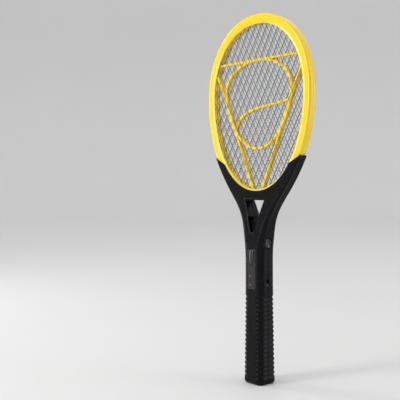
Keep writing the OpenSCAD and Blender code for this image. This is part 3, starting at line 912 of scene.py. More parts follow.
# ---------- dressing and reporting ----------


def dress(piece: Object, material: Material, slot: str, body: Body, *nodes: str) -> None:
    """Gives a piece its material and body, and hides the CAD nodes that it stands for.

    Args:
        piece: The finished piece.
        material: Its material.
        slot: The record's material slot; not used.
        body: The body that it rides on.
        *nodes: The CAD nodes that it replaces.
    """
    if not piece.data.materials:
        piece.data.materials.append(material)
    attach(piece, body.value)
    if nodes:
        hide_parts(*nodes)
    log.info("%s rides on %s", piece.name, body.value)


def repaint(node: str, material: Material) -> None:
    """Gives a CAD node that stays in view a better material."""
    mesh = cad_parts[node].data
    mesh.materials.clear()
    mesh.materials.append(material)
    log.info("%s keeps its CAD shape", node)


# ---------- head ----------


@dataclass
class Rims:
    """The two halves of the rim, swept round the oval."""

    steps: int = 320
    seam: float = 0.03
    edge_r: float = 3.0
    slope_from: float = 8.4
    slope_drop: float = 1.2

    def profile(self, side: Side) -> Object:
        """Closed outline of one half, with X as the inset and Y as the depth."""
        deep, under, wall = HEAD.depth / 2, HEAD.mesh_out + 0.1, HEAD.rim_wall + 0.1
        corners = [
            (0, self.seam), (0, deep), (self.slope_from, deep), (HEAD.rim_w, deep - self.slope_drop),
            (HEAD.rim_w, under), (wall, under), (wall, self.seam),
        ]
        radii = [0.25, self.edge_r, 2.5, 0.6, 0.15, 0, 0]
        curve = bpy.data.curves.new("rim_profile", "CURVE")
        outline = rounded_outline(corners, radii, 7)
        spline = curve.splines.new("POLY")
        spline.points.add(len(outline) - 1)
        for point, (u, v) in zip(spline.points, outline):
            point.co = (-u * MM, -side.value * v * MM, 0, 1)
        spline.use_cyclic_u = True
        return placed("rim_profile", curve)

    def graph(self, profile: Object, material: Material) -> Graph:
        """Tree that bends a circle into the oval and sweeps the profile along it."""
        oval = HEAD.oval
        g = Graph("rim_sweep")
        half = g.input("Half Width", oval.half_width * MM)
        rise, drop = g.input("Rise", oval.rise * MM), g.input("Drop", oval.drop * MM)
        middle = g.input("Widest Height", oval.middle * MM)
        power = g.math("DIVIDE", 2.0, g.input("Squareness", oval.squareness))
        steps = g.input("Steps", self.steps, "Int")
        angle = g.math("MULTIPLY", g.node("SplineParameter").outputs["Factor"], 2 * math.pi)
        c, s = g.math("COSINE", angle), g.math("SINE", angle)
        sized = [g.math("POWER", g.math("ABSOLUTE", v), power) for v in (c, s)]
        u, w = (g.math("MULTIPLY", g.math("SIGN", v), size) for v, size in zip((c, s), sized))
        tall = g.math("MULTIPLY_ADD", g.math("GREATER_THAN", s, 0.0), g.math("SUBTRACT", rise, drop), drop)
        place = g.vector(g.math("MULTIPLY", u, half), g.math("MULTIPLY_ADD", w, tall, middle), 0.0)
        path = g.out("SetPosition", {"Geometry": g.ring(steps, 1.0), "Position": place})
        upright = g.out("SetCurveNormal", {"Curve": path}, mode="Z_UP")
        swept = g.out("CurveToMesh", {"Curve": upright, "Profile Curve": g.shape("Profile", profile)})
        g.finish(g.out("Transform", {"Geometry": swept, "Rotation": (math.pi / 2, 0, 0)}), material)
        return g

    def clear_yoke(self, piece: Object) -> None:
        """Draws in the outer part of the rim where the arms of the yoke wrap it."""
        points = np.empty(len(piece.data.vertices) * 3)
        piece.data.vertices.foreach_get("co", points)
        x, y, z = points.reshape(-1, 3).T / MM
        limit = FORM.half_width(z) - (FORM.arm_wall + 0.2) / math.cos(FORM.lean)
        held = (z < FORM.tip_z) & (np.abs(x) > limit)
        x = np.where(held, np.sign(x) * limit, x)
        piece.data.vertices.foreach_set("co", (np.stack([x, y, z], 1) * MM).ravel())
        piece.data.update()

    def build(self, material: Material) -> None:
        """Makes both halves, each in one finish."""
        for side, node in ((Side.FRONT, "front_rim"), (Side.REAR, "rear_rim")):
            profile = self.profile(side)
            piece = self.graph(profile, material).grow(f"{node}_moulding")
            bpy.data.objects.remove(profile)
            self.clear_yoke(piece)
            face_outwards(piece)
            dress(piece, material, "yellow_plastic", Body.HANDLE, node)


@dataclass
class WireMeshes:
    """The three sheets of diamond mesh."""

    reach: int = 15
    per_step: int = 4
    edge: float = 8.6
    width: float = 0.68
    thickness: float = 0.36
    knuckle: float = 0.3
    twist: float = math.radians(9)

    def inside(self, g: Graph) -> Socket:
        """How far out a point is, with 1 on the trimming oval."""
        oval = HEAD.oval
        edge = self.edge
        half = g.input("Half Width", (oval.half_width - edge) * MM)
        rise, drop = g.input("Rise", (oval.rise - edge) * MM), g.input("Drop", (oval.drop - edge) * MM)
        power = g.input("Squareness", oval.squareness)
        at = g.place()
        v = g.math("SUBTRACT", at["Z"], g.input("Widest Height", oval.middle * MM))
        tall = g.math("MULTIPLY_ADD", g.math("GREATER_THAN", v, 0.0), g.math("SUBTRACT", rise, drop), drop)
        shares = [g.math("ABSOLUTE", g.math("DIVIDE", a, b)) for a, b in ((at["X"], half), (v, tall))]
        return g.math("ADD", *[g.math("POWER", s, power) for s in shares])

    def graph(self, y: float, phase: Point, material: Material) -> Graph:
        """Tree that lays two families of strands and trims them to the oval.

        Args:
            y: Place of the sheet, front to back.
            phase: Shift of the cells, in cells and in half heights.
            material: The sheet's finish.

        Returns:
            The tree.
        """
        g = Graph("diamond_mesh")
        cell_w, cell_h = g.input("Cell Width", HEAD.cell_w * MM), g.input("Cell Height", HEAD.cell_h * MM)
        width = g.input("Strand Width", self.width * MM)
        thick = g.input("Strand Thickness", self.thickness * MM)
        low = HEAD.oval.middle + phase[1] * HEAD.cell_h / 2
        count = 2 * (self.reach + 2) + 1
        first = (phase[0] + 0.5 - (count - 1) / 2) * HEAD.cell_w
        start = (first * MM, y * MM, low * MM)
        offset = g.vector(cell_w, 0.0, 0.0)
        row = g.out("MeshLine", {"Count": count, "Start Location": start, "Offset": offset})
        share = self.inside(g)
        above = g.math("SUBTRACT", g.place()["Z"], low * MM)
        steps = g.math("DIVIDE", above, g.math("MULTIPLY", cell_h, 0.5))
        wave = g.math("COSINE", g.math("MULTIPLY", steps, 2 * math.pi))
        swell = g.math("MULTIPLY_ADD", wave, self.knuckle / 2, 1 + self.knuckle / 2)
        flat = g.out("Transform", {"Geometry": g.ring(8, 0.5), "Scale": g.vector(thick, width, 1.0)})
        joined = g.node("JoinGeometry")
        for sign in (1, -1):
            ends = []
            for way in (-self.reach, self.reach):
                across = g.math("MULTIPLY", cell_w, way / 2)
                ends.append(g.vector(across, 0.0, g.math("MULTIPLY", cell_h, sign * way / 2)))
            line = g.out("CurvePrimitiveLine", {"Start": ends[0], "End": ends[1]})
            fine = g.out("ResampleCurve", {"Curve": line, "Count": 2 * self.reach * self.per_step + 1})
            laid = g.out("InstanceOnPoints", {"Points": row, "Instance": fine})
            real = g.out("RealizeInstances", {"Geometry": laid})
            beyond = g.math("GREATER_THAN", share, 1.0)
            trimmed = g.out("DeleteGeometry", {"Geometry": real, "Selection": beyond}, domain="POINT")
            facing = g.out("SetCurveNormal", {"Curve": trimmed, "Normal": (0.0, 1.0, 0.0)}, mode="FREE")
            leaning = g.out("SetCurveTilt", {"Curve": facing, "Tilt": self.twist * sign})
            g.tree.links.new(g.tube(leaning, flat, Scale=swell), joined.inputs[0])
        g.finish(joined.outputs[0], material)
        return g

    def build(self, material: Material) -> None:
        """Makes the front, middle and rear sheets."""
        outer = (HEAD.spacer_out + HEAD.mesh_out) / 2
        for node, y, phase in (
            ("front_mesh", -outer, (0, 0)),
            ("centre_mesh", 0.0, (0.5, 0.5)),
            ("rear_mesh", outer, (0, 0)),
        ):
            piece = self.graph(y, phase, material).grow(node + "_strands")
            dress(piece, material, "mesh_metal", Body.HANDLE, node)


class PlanMap:
    """Distance from a drawing in X and Z, worked out once and read off between its points."""

    def __init__(self, low: Point, high: Point, pitch: float) -> None:
        """Lays out the map's points."""
        self.low, self.pitch = low, pitch
        self.xs = np.arange(low[0], high[0] + pitch, pitch)[:, None]
        self.zs = np.arange(low[1], high[1] + pitch, pitch)[None, :]
        self.values = np.full((len(self.xs), self.zs.shape[1]), 1e3)

    def add_line(self, points: Array) -> None:
        """Takes in the distance from a line of points."""
        for a, b in zip(points, points[1:]):
            run = b - a
            t = ((self.xs - a[0]) * run[0] + (self.zs - a[1]) * run[1]) / (run @ run)
            t = np.clip(t, 0, 1)
            d = np.hypot(self.xs - a[0] - t * run[0], self.zs - a[1] - t * run[1])
            self.values = np.minimum(self.values, d)

    def read(self, x: Array, z: Array) -> Array:
        """Distance at places in X and Z."""
        u, w = (x - self.low[0]) / self.pitch, (z - self.low[1]) / self.pitch
        i = np.clip(np.floor(u).astype(int), 0, self.values.shape[0] - 2)
        k = np.clip(np.floor(w).astype(int), 0, self.values.shape[1] - 2)
        s, t = np.clip(u - i, 0, 1), np.clip(w - k, 0, 1)
        v = self.values
        low = v[i, k] * (1 - s) + v[i + 1, k] * s
        high = v[i, k + 1] * (1 - s) + v[i + 1, k + 1] * s
        return low * (1 - t) + high * t


@dataclass
class Spacers:
    """The two ribbed frames that keep the meshes apart."""

    pitch: float = 0.75
    outer_inset: float = HEAD.rim_wall + 0.3
    inner_inset: float = HEAD.rim_w - 0.5
    crossbar: float = 0.495
    edge_r: float = 0.45

    @cached_property
    def ribs(self) -> PlanMap:
        """The middle lines of all ribs."""
        half = HEAD.width / 2
        plan = PlanMap((-half, HEAD.base), (half, HEAD.top), 0.5)
        controls = [[(0.7, -0.08), (0.123, -0.15), (-0.344, -0.1), (-0.503, -0.347)]]
        for s in (-1, 1):
            controls.append([(0, 0.495), (s * 0.405, 0.495), (s * 0.73, 0.314), (s * 0.73, 0.084)])
            controls.append([(s * 0.73, 0.084), (s * 0.73, -0.216), (s * 0.417, -0.568), (0, -0.568)])
            controls.append([(s * 0.08, -1.035), (s * 0.614, -0.216), (s * 0.76, 0.019), (s * 0.98, 0.39)])
        for four in controls:
            plan.add_line(cubic([HEAD.place(u, v) for u, v in four], 22))
        height = HEAD.place(0, self.crossbar)[1]
        plan.add_line(np.array([(-half, height), (half, height)]))
        return plan

    def solid(self, side: Side) -> Field:
        """Distance field of one spacer."""
        middle = side.value * (HEAD.spacer_in + HEAD.spacer_out) / 2
        half = (HEAD.spacer_out - HEAD.spacer_in) / 2

        def distance(x: Array, y: Array, z: Array) -> Array:
            """Distance outside the spacer."""
            far = HEAD.oval.distance
            ring = meet(far(x, z, self.outer_inset), -far(x, z, self.inner_inset))
            ribs = meet(self.ribs.read(x, z) - HEAD.rib_w / 2, far(x, z, self.inner_inset - 1))
            return smooth_max(smooth_min(ring, ribs, 1.2), np.abs(y - middle) - half, self.edge_r)

        return distance

    def build(self, material: Material) -> None:
        """Makes both spacers."""
        for side, node in ((Side.FRONT, "front_spacer"), (Side.REAR, "rear_spacer")):
            piece = cast(node + "_ribs", self.solid(side), node, self.pitch)
            dress(piece, material, "yellow_plastic", Body.HANDLE, node)


# ---------- handle ----------


@dataclass(frozen=True)
class HandleCuts:
    """Places and sizes of what is cut in the shells, and of what fits there."""

    window_top: float = HEAD.base - 2
    window_h: float = 19.0
    pocket_low: float = HEAD.base - 43.5
    window_half: float = 17.0
    taper: tuple[Point, ...] = ((1, 0.12), (0.8, 0.35), (0.58, 0.51), (0.43, 0.57), (0.22, 0.77), (0, 1))
    web: float = 2.2
    pocket_depth: float = 5.0
    lip_r: float = 0.65
    lip_out: float = 1.3
    panel_w: float = 15.0
    panel_len: float = 53.0
    panel_t: float = 1.5
    panel_corner: float = 2.0
    panel_top: float = FORM.neck_z + 19.3
    button_z: float = FORM.neck_z + 8.3
    button_w: float = 9.0
    button_len: float = 20.6
    side_z: float = FORM.neck_z + 26.3
    side_r: float = 5.8
    side_recess: float = 1.4
    slot_z: float = FORM.neck_z - 25.9
    slot_w: float = 3.6
    slot_len: float = 10.4
    led_x: float = -3.2
    led_zs: Point = (FORM.neck_z - 16.7, FORM.neck_z - 28.2)
    led_r: float = 1.5
    run_gap: float = 0.2
    inset: float = 3.2
    bay_low: float = 13.0
    plate_z: float = 117.8
    door_low: float = 18.0
    door_w: float = 21.0
    door_travel: float = 8.0
    tongue_half: float = 7.4
    screw_sink: float = 3.0
    screws: tuple[Point, ...] = (
        (0, 6), (-6.6, 122.4), (6.6, 122.4), (-29, HEAD.base - 4), (29, HEAD.base - 4),
    )

    @property
    def window_low(self) -> float:
        """Foot of the window, where the web that parts it from the pocket starts."""
        return self.window_top - self.window_h

    @property
    def panel_z(self) -> float:
        """Middle of the panel's height."""
        return self.panel_top - self.panel_len / 2

    @property
    def panel_face(self) -> float:
        """Distance of the panel's face from the middle."""
        return FORM.grip_d / 2 + 0.2

    @property
    def side_inner(self) -> float:
        """Inner face of the side wall."""
        return FORM.grip_w / 2 - self.inset

    @property
    def front_inner(self) -> float:
        """Inner face of the front wall."""
        return FORM.grip_d / 2 - self.inset

    @property
    def rail_y(self) -> float:
        """Floor of the battery door's channel."""
        return FORM.grip_d / 2 - 2.3

    @property
    def door_high(self) -> float:
        """Top of the battery door."""
        return self.plate_z + 1

    def window(self, x: Array, z: Array, low: float, high: float, grow: float = 0.0) -> Array:
        """Distance from the part between two heights of the tapering window drawing."""
        heights = [lerp(self.window_top, self.pocket_low, down) for down, _ in self.taper]
        halves = [self.window_half * width for _, width in self.taper]
        beside = (np.abs(x) - np.interp(z, heights, halves) - grow) * 0.93
        return smooth_max(smooth_max(beside, z - high - grow, 1.6), low - grow - z, 1.6)

    def panel(self, x: Array, z: Array, grow: float = 0.0) -> Array:
        """Distance from the outline of the panel, whose corners are cut."""
        u, v = np.abs(x), np.abs(z - self.panel_z)
        w, h = self.panel_w / 2 + grow, self.panel_len / 2 + grow
        corner = (u + v - w - h + self.panel_corner) * math.sqrt(0.5)
        return meet(u - w, v - h, corner)


CUTS = HandleCuts()


@dataclass
class Shells:
    """The front and rear halves of the handle and yoke."""

    pitch: float = 0.68
    seam: float = 0.02
    boss_r: float = 3.2
    bulkhead_t: float = 2.0
    head_well: float = 2.3
    shank_hole: float = 1.3

    def cavity(self, x: Array, y: Array, z: Array) -> Array:
        """Distance outside the space in the handle."""
        c = CUTS
        window = c.window(x, z, c.window_low - c.web, c.window_top + 1, 2.0)
        pocket = c.window(x, z, c.pocket_low, c.window_low, 2.0)
        pocket = meet(pocket, y + FORM.half_depth(z) - c.pocket_depth - 1.6)
        bosses = [self.boss_r - np.hypot(x - sx, z - sz) for sx, sz in c.screws]
        lows = (c.bay_low - 0.6 - self.bulkhead_t, c.plate_z + 0.6)
        walls = [-box_distance(z, low, low + self.bulkhead_t) for low in lows]
        ends = (3.0 - z, z - (FORM.tip_z - 4))
        return meet(FORM.section(x, y, z, c.inset), *ends, -window, -pocket, *bosses, *walls)

    def shared(self, x: Array, y: Array, z: Array) -> Array:
        """Distance field that both shells are cut from."""
        c = CUTS
        head = HEAD.oval
        d = FORM.outer(x, y, z)
        d = cut(d, head.distance(x, z, HEAD.rim_w - HEAD.yoke_lip), 0.9)
        edge = c.window(x, z, c.pocket_low, c.window_top, c.lip_out)
        lip = np.hypot(edge, np.abs(y) - FORM.half_depth(z) - 0.05)
        d = smooth_min(d, lip - c.lip_r, 0.5)
        d = cut(d, c.window(x, z, c.window_low, c.window_top), 0.8)
        flank = FORM.flank(x, z, FORM.arm_wall)
        rim = meet(head.distance(x, z, -0.2), np.abs(y) - HEAD.depth / 2 - 0.1, flank)
        d = meet(d, -rim, -self.cavity(x, y, z))
        around = np.hypot(y, z - c.side_z)
        d = cut(d, np.maximum(around - c.side_r - 0.9, FORM.half_width(z) - c.side_recess - x), 0.5)
        d = cut(d, np.maximum(around - c.side_r - c.run_gap, c.side_inner - 1 - x))
        slot = np.maximum(np.abs(y) - c.slot_w / 2, np.abs(z - c.slot_z) - c.slot_len / 2)
        return cut(d, np.maximum(slot, c.side_inner - 1 - x), 0.4)

    def front(self, x: Array, y: Array, z: Array) -> Array:
        """Distance field of the front shell."""
        c = CUTS
        d = self.shared(x, y, z)
        pocket = c.window(x, z, c.pocket_low, c.window_low - c.web)
        d = cut(d, np.maximum(pocket, y + FORM.half_depth(z) - c.pocket_depth), 0.7)
        d = cut(d, np.maximum(c.panel(x, z, 0.1), y + c.panel_face - c.panel_t), 0.25)
        gap = 2 * c.run_gap
        d = cut(d, np.maximum(stadium(x, z - c.button_z, c.button_w + gap, c.button_len + gap), y))
        for lamp in c.led_zs:
            d = cut(d, np.maximum(np.hypot(x - c.led_x, z - lamp) - c.led_r - 0.05, y + c.front_inner - 1))
        return smooth_max(d, y + self.seam, 0.3)

    def rear(self, x: Array, y: Array, z: Array) -> Array:
        """Distance field of the rear shell."""
        c = CUTS
        span = (box_distance(z, 3.0, c.door_high + 3), box_distance(y, c.rail_y - 1.6, c.rail_y + 0.5))
        rail = meet(FORM.section(x, y, z, FORM.wall), *span)
        d = np.minimum(self.shared(x, y, z), rail)
        run = box_distance(z, c.door_low - c.door_travel - 0.4, c.door_high + c.run_gap)
        d = cut(d, meet(np.abs(x) - c.door_w / 2 - c.run_gap, c.rail_y - y, run), 0.35)
        bay = box_distance(z, c.door_low + 1, c.plate_z - 0.5)
        d = cut(d, meet(np.abs(x) - c.tongue_half - 0.4, -y, bay))
        for sx, sz in c.screws:
            around = np.hypot(x - sx, z - sz)
            d = cut(d, meet(around - self.head_well, FORM.half_depth(np.array(sz)) - c.screw_sink - y), 0.35)
            d = cut(d, meet(around - self.shank_hole, -1 - y), 0.2)
        return smooth_max(d, self.seam - y, 0.3)

    def build(self, material: Material) -> None:
        """Makes both shells."""
        for field_of, node in ((self.front, "front_shell"), (self.rear, "rear_shell")):
            piece = cast(node + "_moulding", field_of, node, self.pitch)
            dress(piece, material, "black_plastic", Body.HANDLE, node)


@dataclass
class BatteryDoor:
    """Sliding door on the back of the grip."""

    pitch: float = 0.5
    sink: float = 0.4
    grips: int = 5
    grip_pitch: float = 2.4
    grip_drop: float = 8.0
    arrow: Point = (92, 97.5)

    def solid(self, x: Array, y: Array, z: Array) -> Array:
        """Distance field of the door."""
        c = CUTS
        plate = smooth_max(np.abs(x) - c.door_w / 2, box_distance(z, c.door_low, c.door_high), 1.2)
        surface = FORM.grip_d / 2 - self.sink - y
        plate = smooth_max(np.maximum(plate, c.rail_y + 0.1 - y), -surface, 0.5)
        deep = box_distance(y, c.rail_y - 1.4, c.rail_y + 0.4)
        tall = box_distance(z, c.door_low + 1 + c.door_travel + 0.3, c.plate_z - 0.8)
        tongue = meet(np.abs(x) - c.tongue_half, deep, tall)
        d = np.minimum(plate, tongue)
        for i in range(self.grips):
            place = z - (c.door_high - self.grip_drop - i * self.grip_pitch)
            d = cut(d, meet(stadium(place, x, 1.2, 11), surface - 0.6), 0.3)
        low, high = self.arrow
        point = np.abs(x) * 0.8 - (z - low) * 0.6
        return cut(d, meet(point, z - high, surface - 0.45), 0.25)

    def build(self, material: Material) -> None:
        """Makes the door."""
        piece = cast("battery_door_cover", self.solid, "battery_door", self.pitch)
        dress(piece, material, "black_plastic", Body.BATTERY_DOOR, "battery_door")


# ---------- controls ----------


@dataclass
class Controls:
    """The panel, the two buttons, the slide knob and the lamps."""

    button_rise: float = 1.0
    crown: float = 0.055
    flange: float = 1.0
    knob_len: float = 5.5
    dish: float = 0.75

    def panel(self, x: Array, y: Array, z: Array) -> Array:
        """Distance field of the control panel."""
        c = CUTS
        d = smooth_max(c.panel(x, z), box_distance(y, -c.panel_face, c.panel_t - c.panel_face), 0.35)
        gap = 2 * c.run_gap
        d = cut(d, stadium(x, z - c.button_z, c.button_w + gap, c.button_len + gap), 0.35)
        for lamp in c.led_zs:
            d = cut(d, np.hypot(x - c.led_x, z - lamp) - c.led_r - 0.05, 0.3)
        return d

    def button(self, x: Array, y: Array, z: Array) -> Array:
        """Distance field of the crowned front button and its flange."""
        c = CUTS
        around = stadium(x, z - c.button_z, c.button_w, c.button_len)
        past = np.maximum(np.abs(z - c.button_z) - (c.button_len - c.button_w) / 2, 0)
        face = -y - c.panel_face - self.button_rise + self.crown * (x**2 + past**2)
        cap = np.maximum(smooth_max(around, face, 0.9), y + c.front_inner - 0.6)
        inner = -c.front_inner
        flange = stadium(x, z - c.button_z, c.button_w + 2, c.button_len + 2)
        return np.minimum(cap, np.maximum(flange, box_distance(y, inner + 0.1, inner + 1)))

    def knob(self, x: Array, y: Array, z: Array) -> Array:
        """Distance field of the slide knob, with grip ridges on its face."""
        c = CUTS
        low = c.slot_z - c.slot_len / 2 + c.run_gap
        top = FORM.grip_w / 2 - 0.4
        ridge = 0.22 * np.cos(2 * math.pi * (z - low) / (self.knob_len / 4))
        tall = box_distance(z, low, low + self.knob_len)
        cap = smooth_max(np.abs(y) - c.slot_w / 2 + c.run_gap, tall, 0.35)
        cap = smooth_max(cap, box_distance(x, c.side_inner - 0.6, top - 0.22 - ridge), 0.3)
        tall = box_distance(z, low - 4.4, low + self.knob_len + 4.6)
        flange = meet(np.abs(y) - 3, tall, box_distance(x, c.side_inner - 1.4, c.side_inner - 0.5))
        deep = box_distance(x, c.side_inner - 2.2, c.side_inner - 1.3)
        pin = meet(np.abs(y) - 0.8, box_distance(z, low + 1.5, low + 3.5), deep)
        return np.minimum(np.minimum(cap, flange), pin)

    def round_button(self) -> Object:
        """The dished round button on the right flank."""
        c = CUTS
        face = float(FORM.half_width(np.array(c.side_z))) - 0.5
        back = c.side_inner - 1.2 - self.flange
        r = c.side_r
        rim = rounded_outline([(r, face - 2), (r, face), (r - 0.9, face)], [0, 0.55, 0], 5)
        bowl = [(t * (r - 1.5), face - 0.25 - self.dish * (1 - t * t)) for t in np.linspace(1, 0, 14)]
        profile = [(0, back), (r + 0.8, back), (r + 0.8, back + self.flange), (r, back + self.flange)]
        profile += [(u, v) for u, v in rim[1:]] + [(r - 1.25, face - 0.1)] + bowl
        place = Matrix.Translation((0, 0, c.side_z)) @ Matrix.Rotation(math.pi / 2, 4, "Y")
        return turned("side_button_cap", profile, 72, place)

    def lamps(self) -> Object:
        """Both indicator lamps, with their domes and legs."""
        c = CUTS
        r = c.led_r
        low, high = c.front_inner - 2, c.panel_face + 0.4
        turns, rise = np.linspace(0, math.pi / 2, 9)[:-1], r * 0.75
        dome = [(r * math.cos(a), high - rise + rise * math.sin(a)) for a in turns]
        profile = [(0, low), (r + 0.2, low), (r + 0.2, low + 0.8), (r, low + 0.9), *dome, (0, high)]
        level = Matrix.Rotation(math.pi / 2, 4, "X")
        places = [Matrix.Translation((c.led_x, 0, lamp)) @ level for lamp in c.led_zs]
        legs = [place @ Matrix.Translation((s * 0.8, 0, 0)) for place in places for s in (-1, 1)]
        leg = [(0, 6.0), (0.25, 6.0), (0.25, low), (0, low)]
        parts = [turned("lamp", profile, 32, place) for place in places]
        parts += [turned("leg", leg, 8, place) for place in legs]
        return joined("indicator_lamps", parts)

    def build(self, gloss: Material, lens: Material) -> None:
        """Makes every control."""
        for name, solid, node, pitch, slot, body in (
            ("control_panel_plate", self.panel, "control_panel", 0.3, "panel_gloss", Body.HANDLE),
            ("front_button_cap", self.button, "front_button", 0.25, "button_gloss", Body.FRONT_BUTTON),
            ("slide_knob_cap", self.knob, "slide_knob", 0.16, "button_gloss", Body.POWER_SLIDER),
        ):
            dress(cast(name, solid, node, pitch), gloss, slot, body, node)
        dress(self.round_button(), gloss, "button_gloss", Body.SIDE_BUTTON, "side_button")
        dress(self.lamps(), lens, "red_lens", Body.HANDLE, "indicator_leds")


# ---------- fasteners, leads and battery ----------


@dataclass
class ScrewSet:
    """A group of equal pan-head screws that lie along Y."""

    name: str
    node: str
    places: Sequence[Triple]
    head_r: float
    head_h: float
    shank_r: float
    shank: float
    cross_half: float = 0.26
    thread: float = 0.09
    thread_pitch: float = 0.8

    def template(self, x: Array, y: Array, z: Array) -> Array:
        """Distance field of one screw, with the underside of its head at the origin."""
        around = np.hypot(x, z)
        crown = y - self.head_h + 0.09 * around**2
        head = smooth_max(np.maximum(around - self.head_r, -y), crown, 0.3)
        cross = np.minimum(np.abs(x), np.abs(z)) - self.cross_half
        cross = meet(cross, around - self.head_r * 0.62, self.head_h * 0.42 - y)
        thread = self.thread * (1 + np.cos(2 * math.pi * y / self.thread_pitch))
        shank = meet(around - self.shank_r + thread, box_distance(y, -self.shank, 0.1))
        return np.minimum(cut(head, cross, 0.12), shank)

    def build(self, material: Material) -> None:
        """Sets a screw at each place with Geometry Nodes."""
        r = self.head_r
        one = moulded(self.name + "_one", self.template, (-r, -self.shank, -r), (r, self.head_h, r), 0.2)
        g = Graph(self.name)
        shape, size = g.shape("Screw", one), g.input("Size", 1.0)
        scale = g.vector(size, size, size)
        laid = g.out("InstanceOnPoints", {"Points": g.geometry, "Instance": shape, "Scale": scale})
        g.finish(laid, material)
        piece = g.grow(self.name, [tuple(v * MM for v in p) for p in self.places])
        bpy.data.objects.remove(one)
        dress(piece, material, "screw_steel", Body.HANDLE, self.node)


def all_screws() -> list[ScrewSet]:
    """The rim, shell and board screws."""
    seat = HEAD.screw_seat
    rim = [(x, seat, z) for x, z in HEAD.screw_places]
    shell = [(x, float(FORM.half_depth(np.array(z))) - CUTS.screw_sink, z) for x, z in CUTS.screws]
    board = [(x, Leads.board_rear, FORM.neck_z + z) for x, z in ((-6.8, 27.3), (6.8, -12.7))]
    return [
        ScrewSet("rim_screw_set", "rim_screws", rim, 1.8, 1.3, 1.0, seat + 4.4),
        ScrewSet("shell_screw_set", "shell_screws", shell, 2.1, 1.4, 1.1, 10.5),
        ScrewSet("board_screw_set", "board_screws", board, 1.7, 1.0, 0.8, 4.6),
    ]


@dataclass
class Leads:
    """The insulated wires in the handle."""

    radius: float = 0.6
    board: Point = (FORM.neck_z - 30.7, FORM.neck_z + 31.3)
    board_rear: float = -4.4
    lead_x: float = 23.0
    end_inset: float = 6.8

    def mesh_route(self, side: int) -> list[Triple]:
        """Route from the board to one side of the head."""
        n, inset = HEAD.oval.squareness, self.end_inset
        share = 1 - (self.lead_x / (HEAD.width / 2 - inset)) ** n
        end = HEAD.oval.middle - (HEAD.oval.drop - inset) * share ** (1 / n) - 0.1
        y, high, base, x = self.board_rear + self.radius, self.board[1], HEAD.base, self.lead_x
        route = [
            (3.2, y, high - 3), (4.5, -2, high + 3), (9, 0, high + 11), (15.6, 0, base - 30),
            (x - 1.5, 0, base - 18), (x, 0, base - 10), (x, 0, end),
        ]
        return [(side * u, v, w) for u, v, w in route]

    def battery_route(self) -> list[Triple]:
        """Route from the spring contact up beside the cells to the board."""
        y, low, high = self.board_rear + self.radius, CUTS.bay_low, self.board[0]
        return [
            (-5.6, -1.8, low + 0.1), (-8.8, -3.8, low + 1.4), (-10.8, -6.8, low + 6),
            (-10.8, -6.8, high - 5), (-10.8, y, high - 1), (-8, y, high + 1), (-8, y, high + 4),
        ]

    def smooth(self, route: Sequence[Triple]) -> Array:
        """Rounds a route off between the middles of its stretches."""
        p = np.array(route, float)
        middles = [p[0], *((p[1:-2] + p[2:-1]) / 2), p[-1]]
        found = [p[0]]
        for a, corner, b in zip(middles, p[1:-1], middles[1:]):
            for t in np.linspace(0, 1, 9)[1:]:
                found.append(a * (1 - t) ** 2 + corner * 2 * t * (1 - t) + b * t**2)
        return np.array(found) * MM

    def build(self, red: Material, black: Material) -> None:
        """Makes the three leads."""
        for node, route, material, slot in (
            ("high_voltage_lead", self.mesh_route(-1), red, "lead_red"),
            ("ground_lead", self.mesh_route(1), black, "lead_black"),
            ("battery_leads", self.battery_route(), red, "lead_red"),
        ):
            g = Graph(node)
            circle = g.ring(14, g.input("Radius", self.radius * MM))
            g.finish(g.tube(g.out("MeshToCurve", {"Mesh": g.geometry}), circle), material)
            points = self.smooth(route)
            piece = g.grow(node + "_wire", points, [(i, i + 1) for i in range(len(points) - 1)])
            dress(piece, material, slot, Body.HANDLE, node)


@dataclass
class Battery:
    """The two AA cells, and the spring under them."""

    cell_r: float = 7.2
    cell_len: float = 50.4
    cell_y: float = 1.2
    spring_len: float = 4.0
    spring_r: float = 3.5
    wire_r: float = 0.4
    jacket: Point = (0.6, 2.4)

    def cell(self, name: str, low: float) -> Object:
        """One cell, with its crimped ends and raised cap."""
        r, h = self.cell_r, self.cell_len - 1.2
        profile = [
            (0, 0), (4.6, 0), (4.8, 0.35), (6.3, 0.35), (6.6, 0), (r - 0.25, 0), (r, 0.3),
            (r, h - 0.5), (r - 0.3, h - 0.1), (r - 0.9, h), (r - 1.4, h - 0.4), (3.4, h - 0.4),
            (2.75, h - 0.2), (2.7, h + 0.9), (2.4, h + 1.2), (0, h + 1.2),
        ]
        return turned(name, profile, 64, Matrix.Translation((0, self.cell_y, low)))

    def build(self, jacket: Material, metal: Material) -> None:
        """Makes the cells and the spring."""
        low = CUTS.bay_low + self.spring_len
        for node, height in (("lower_cell", low), ("upper_cell", low + self.cell_len)):
            piece = self.cell(node + "_body", height)
            piece.data.materials.append(jacket)
            piece.data.materials.append(metal)
            for face in piece.data.polygons:
                z = face.center.z / MM - height
                face.material_index = int(not self.jacket[0] < z < self.cell_len - self.jacket[1])
            dress(piece, jacket, "cell_jacket", Body.HANDLE, node)
        g = Graph("contact_spring")
        radius = g.input("Radius", self.spring_r * MM)
        height = g.input("Height", (self.spring_len - 2 * self.wire_r) * MM)
        form = {"Resolution": 28, "Rotations": 3.5, "Height": height}
        spiral = g.out("CurveSpiral", {**form, "Start Radius": radius, "End Radius": radius})
        wire = g.tube(spiral, g.ring(10, g.input("Wire Radius", self.wire_r * MM)))
        lift = (0.0, self.cell_y * MM, (CUTS.bay_low + self.wire_r) * MM)
        g.finish(g.out("Transform", {"Geometry": wire, "Translation": lift}), metal)
        dress(g.grow("contact_spring_coil"), metal, "screw_steel", Body.HANDLE, "battery_spring")


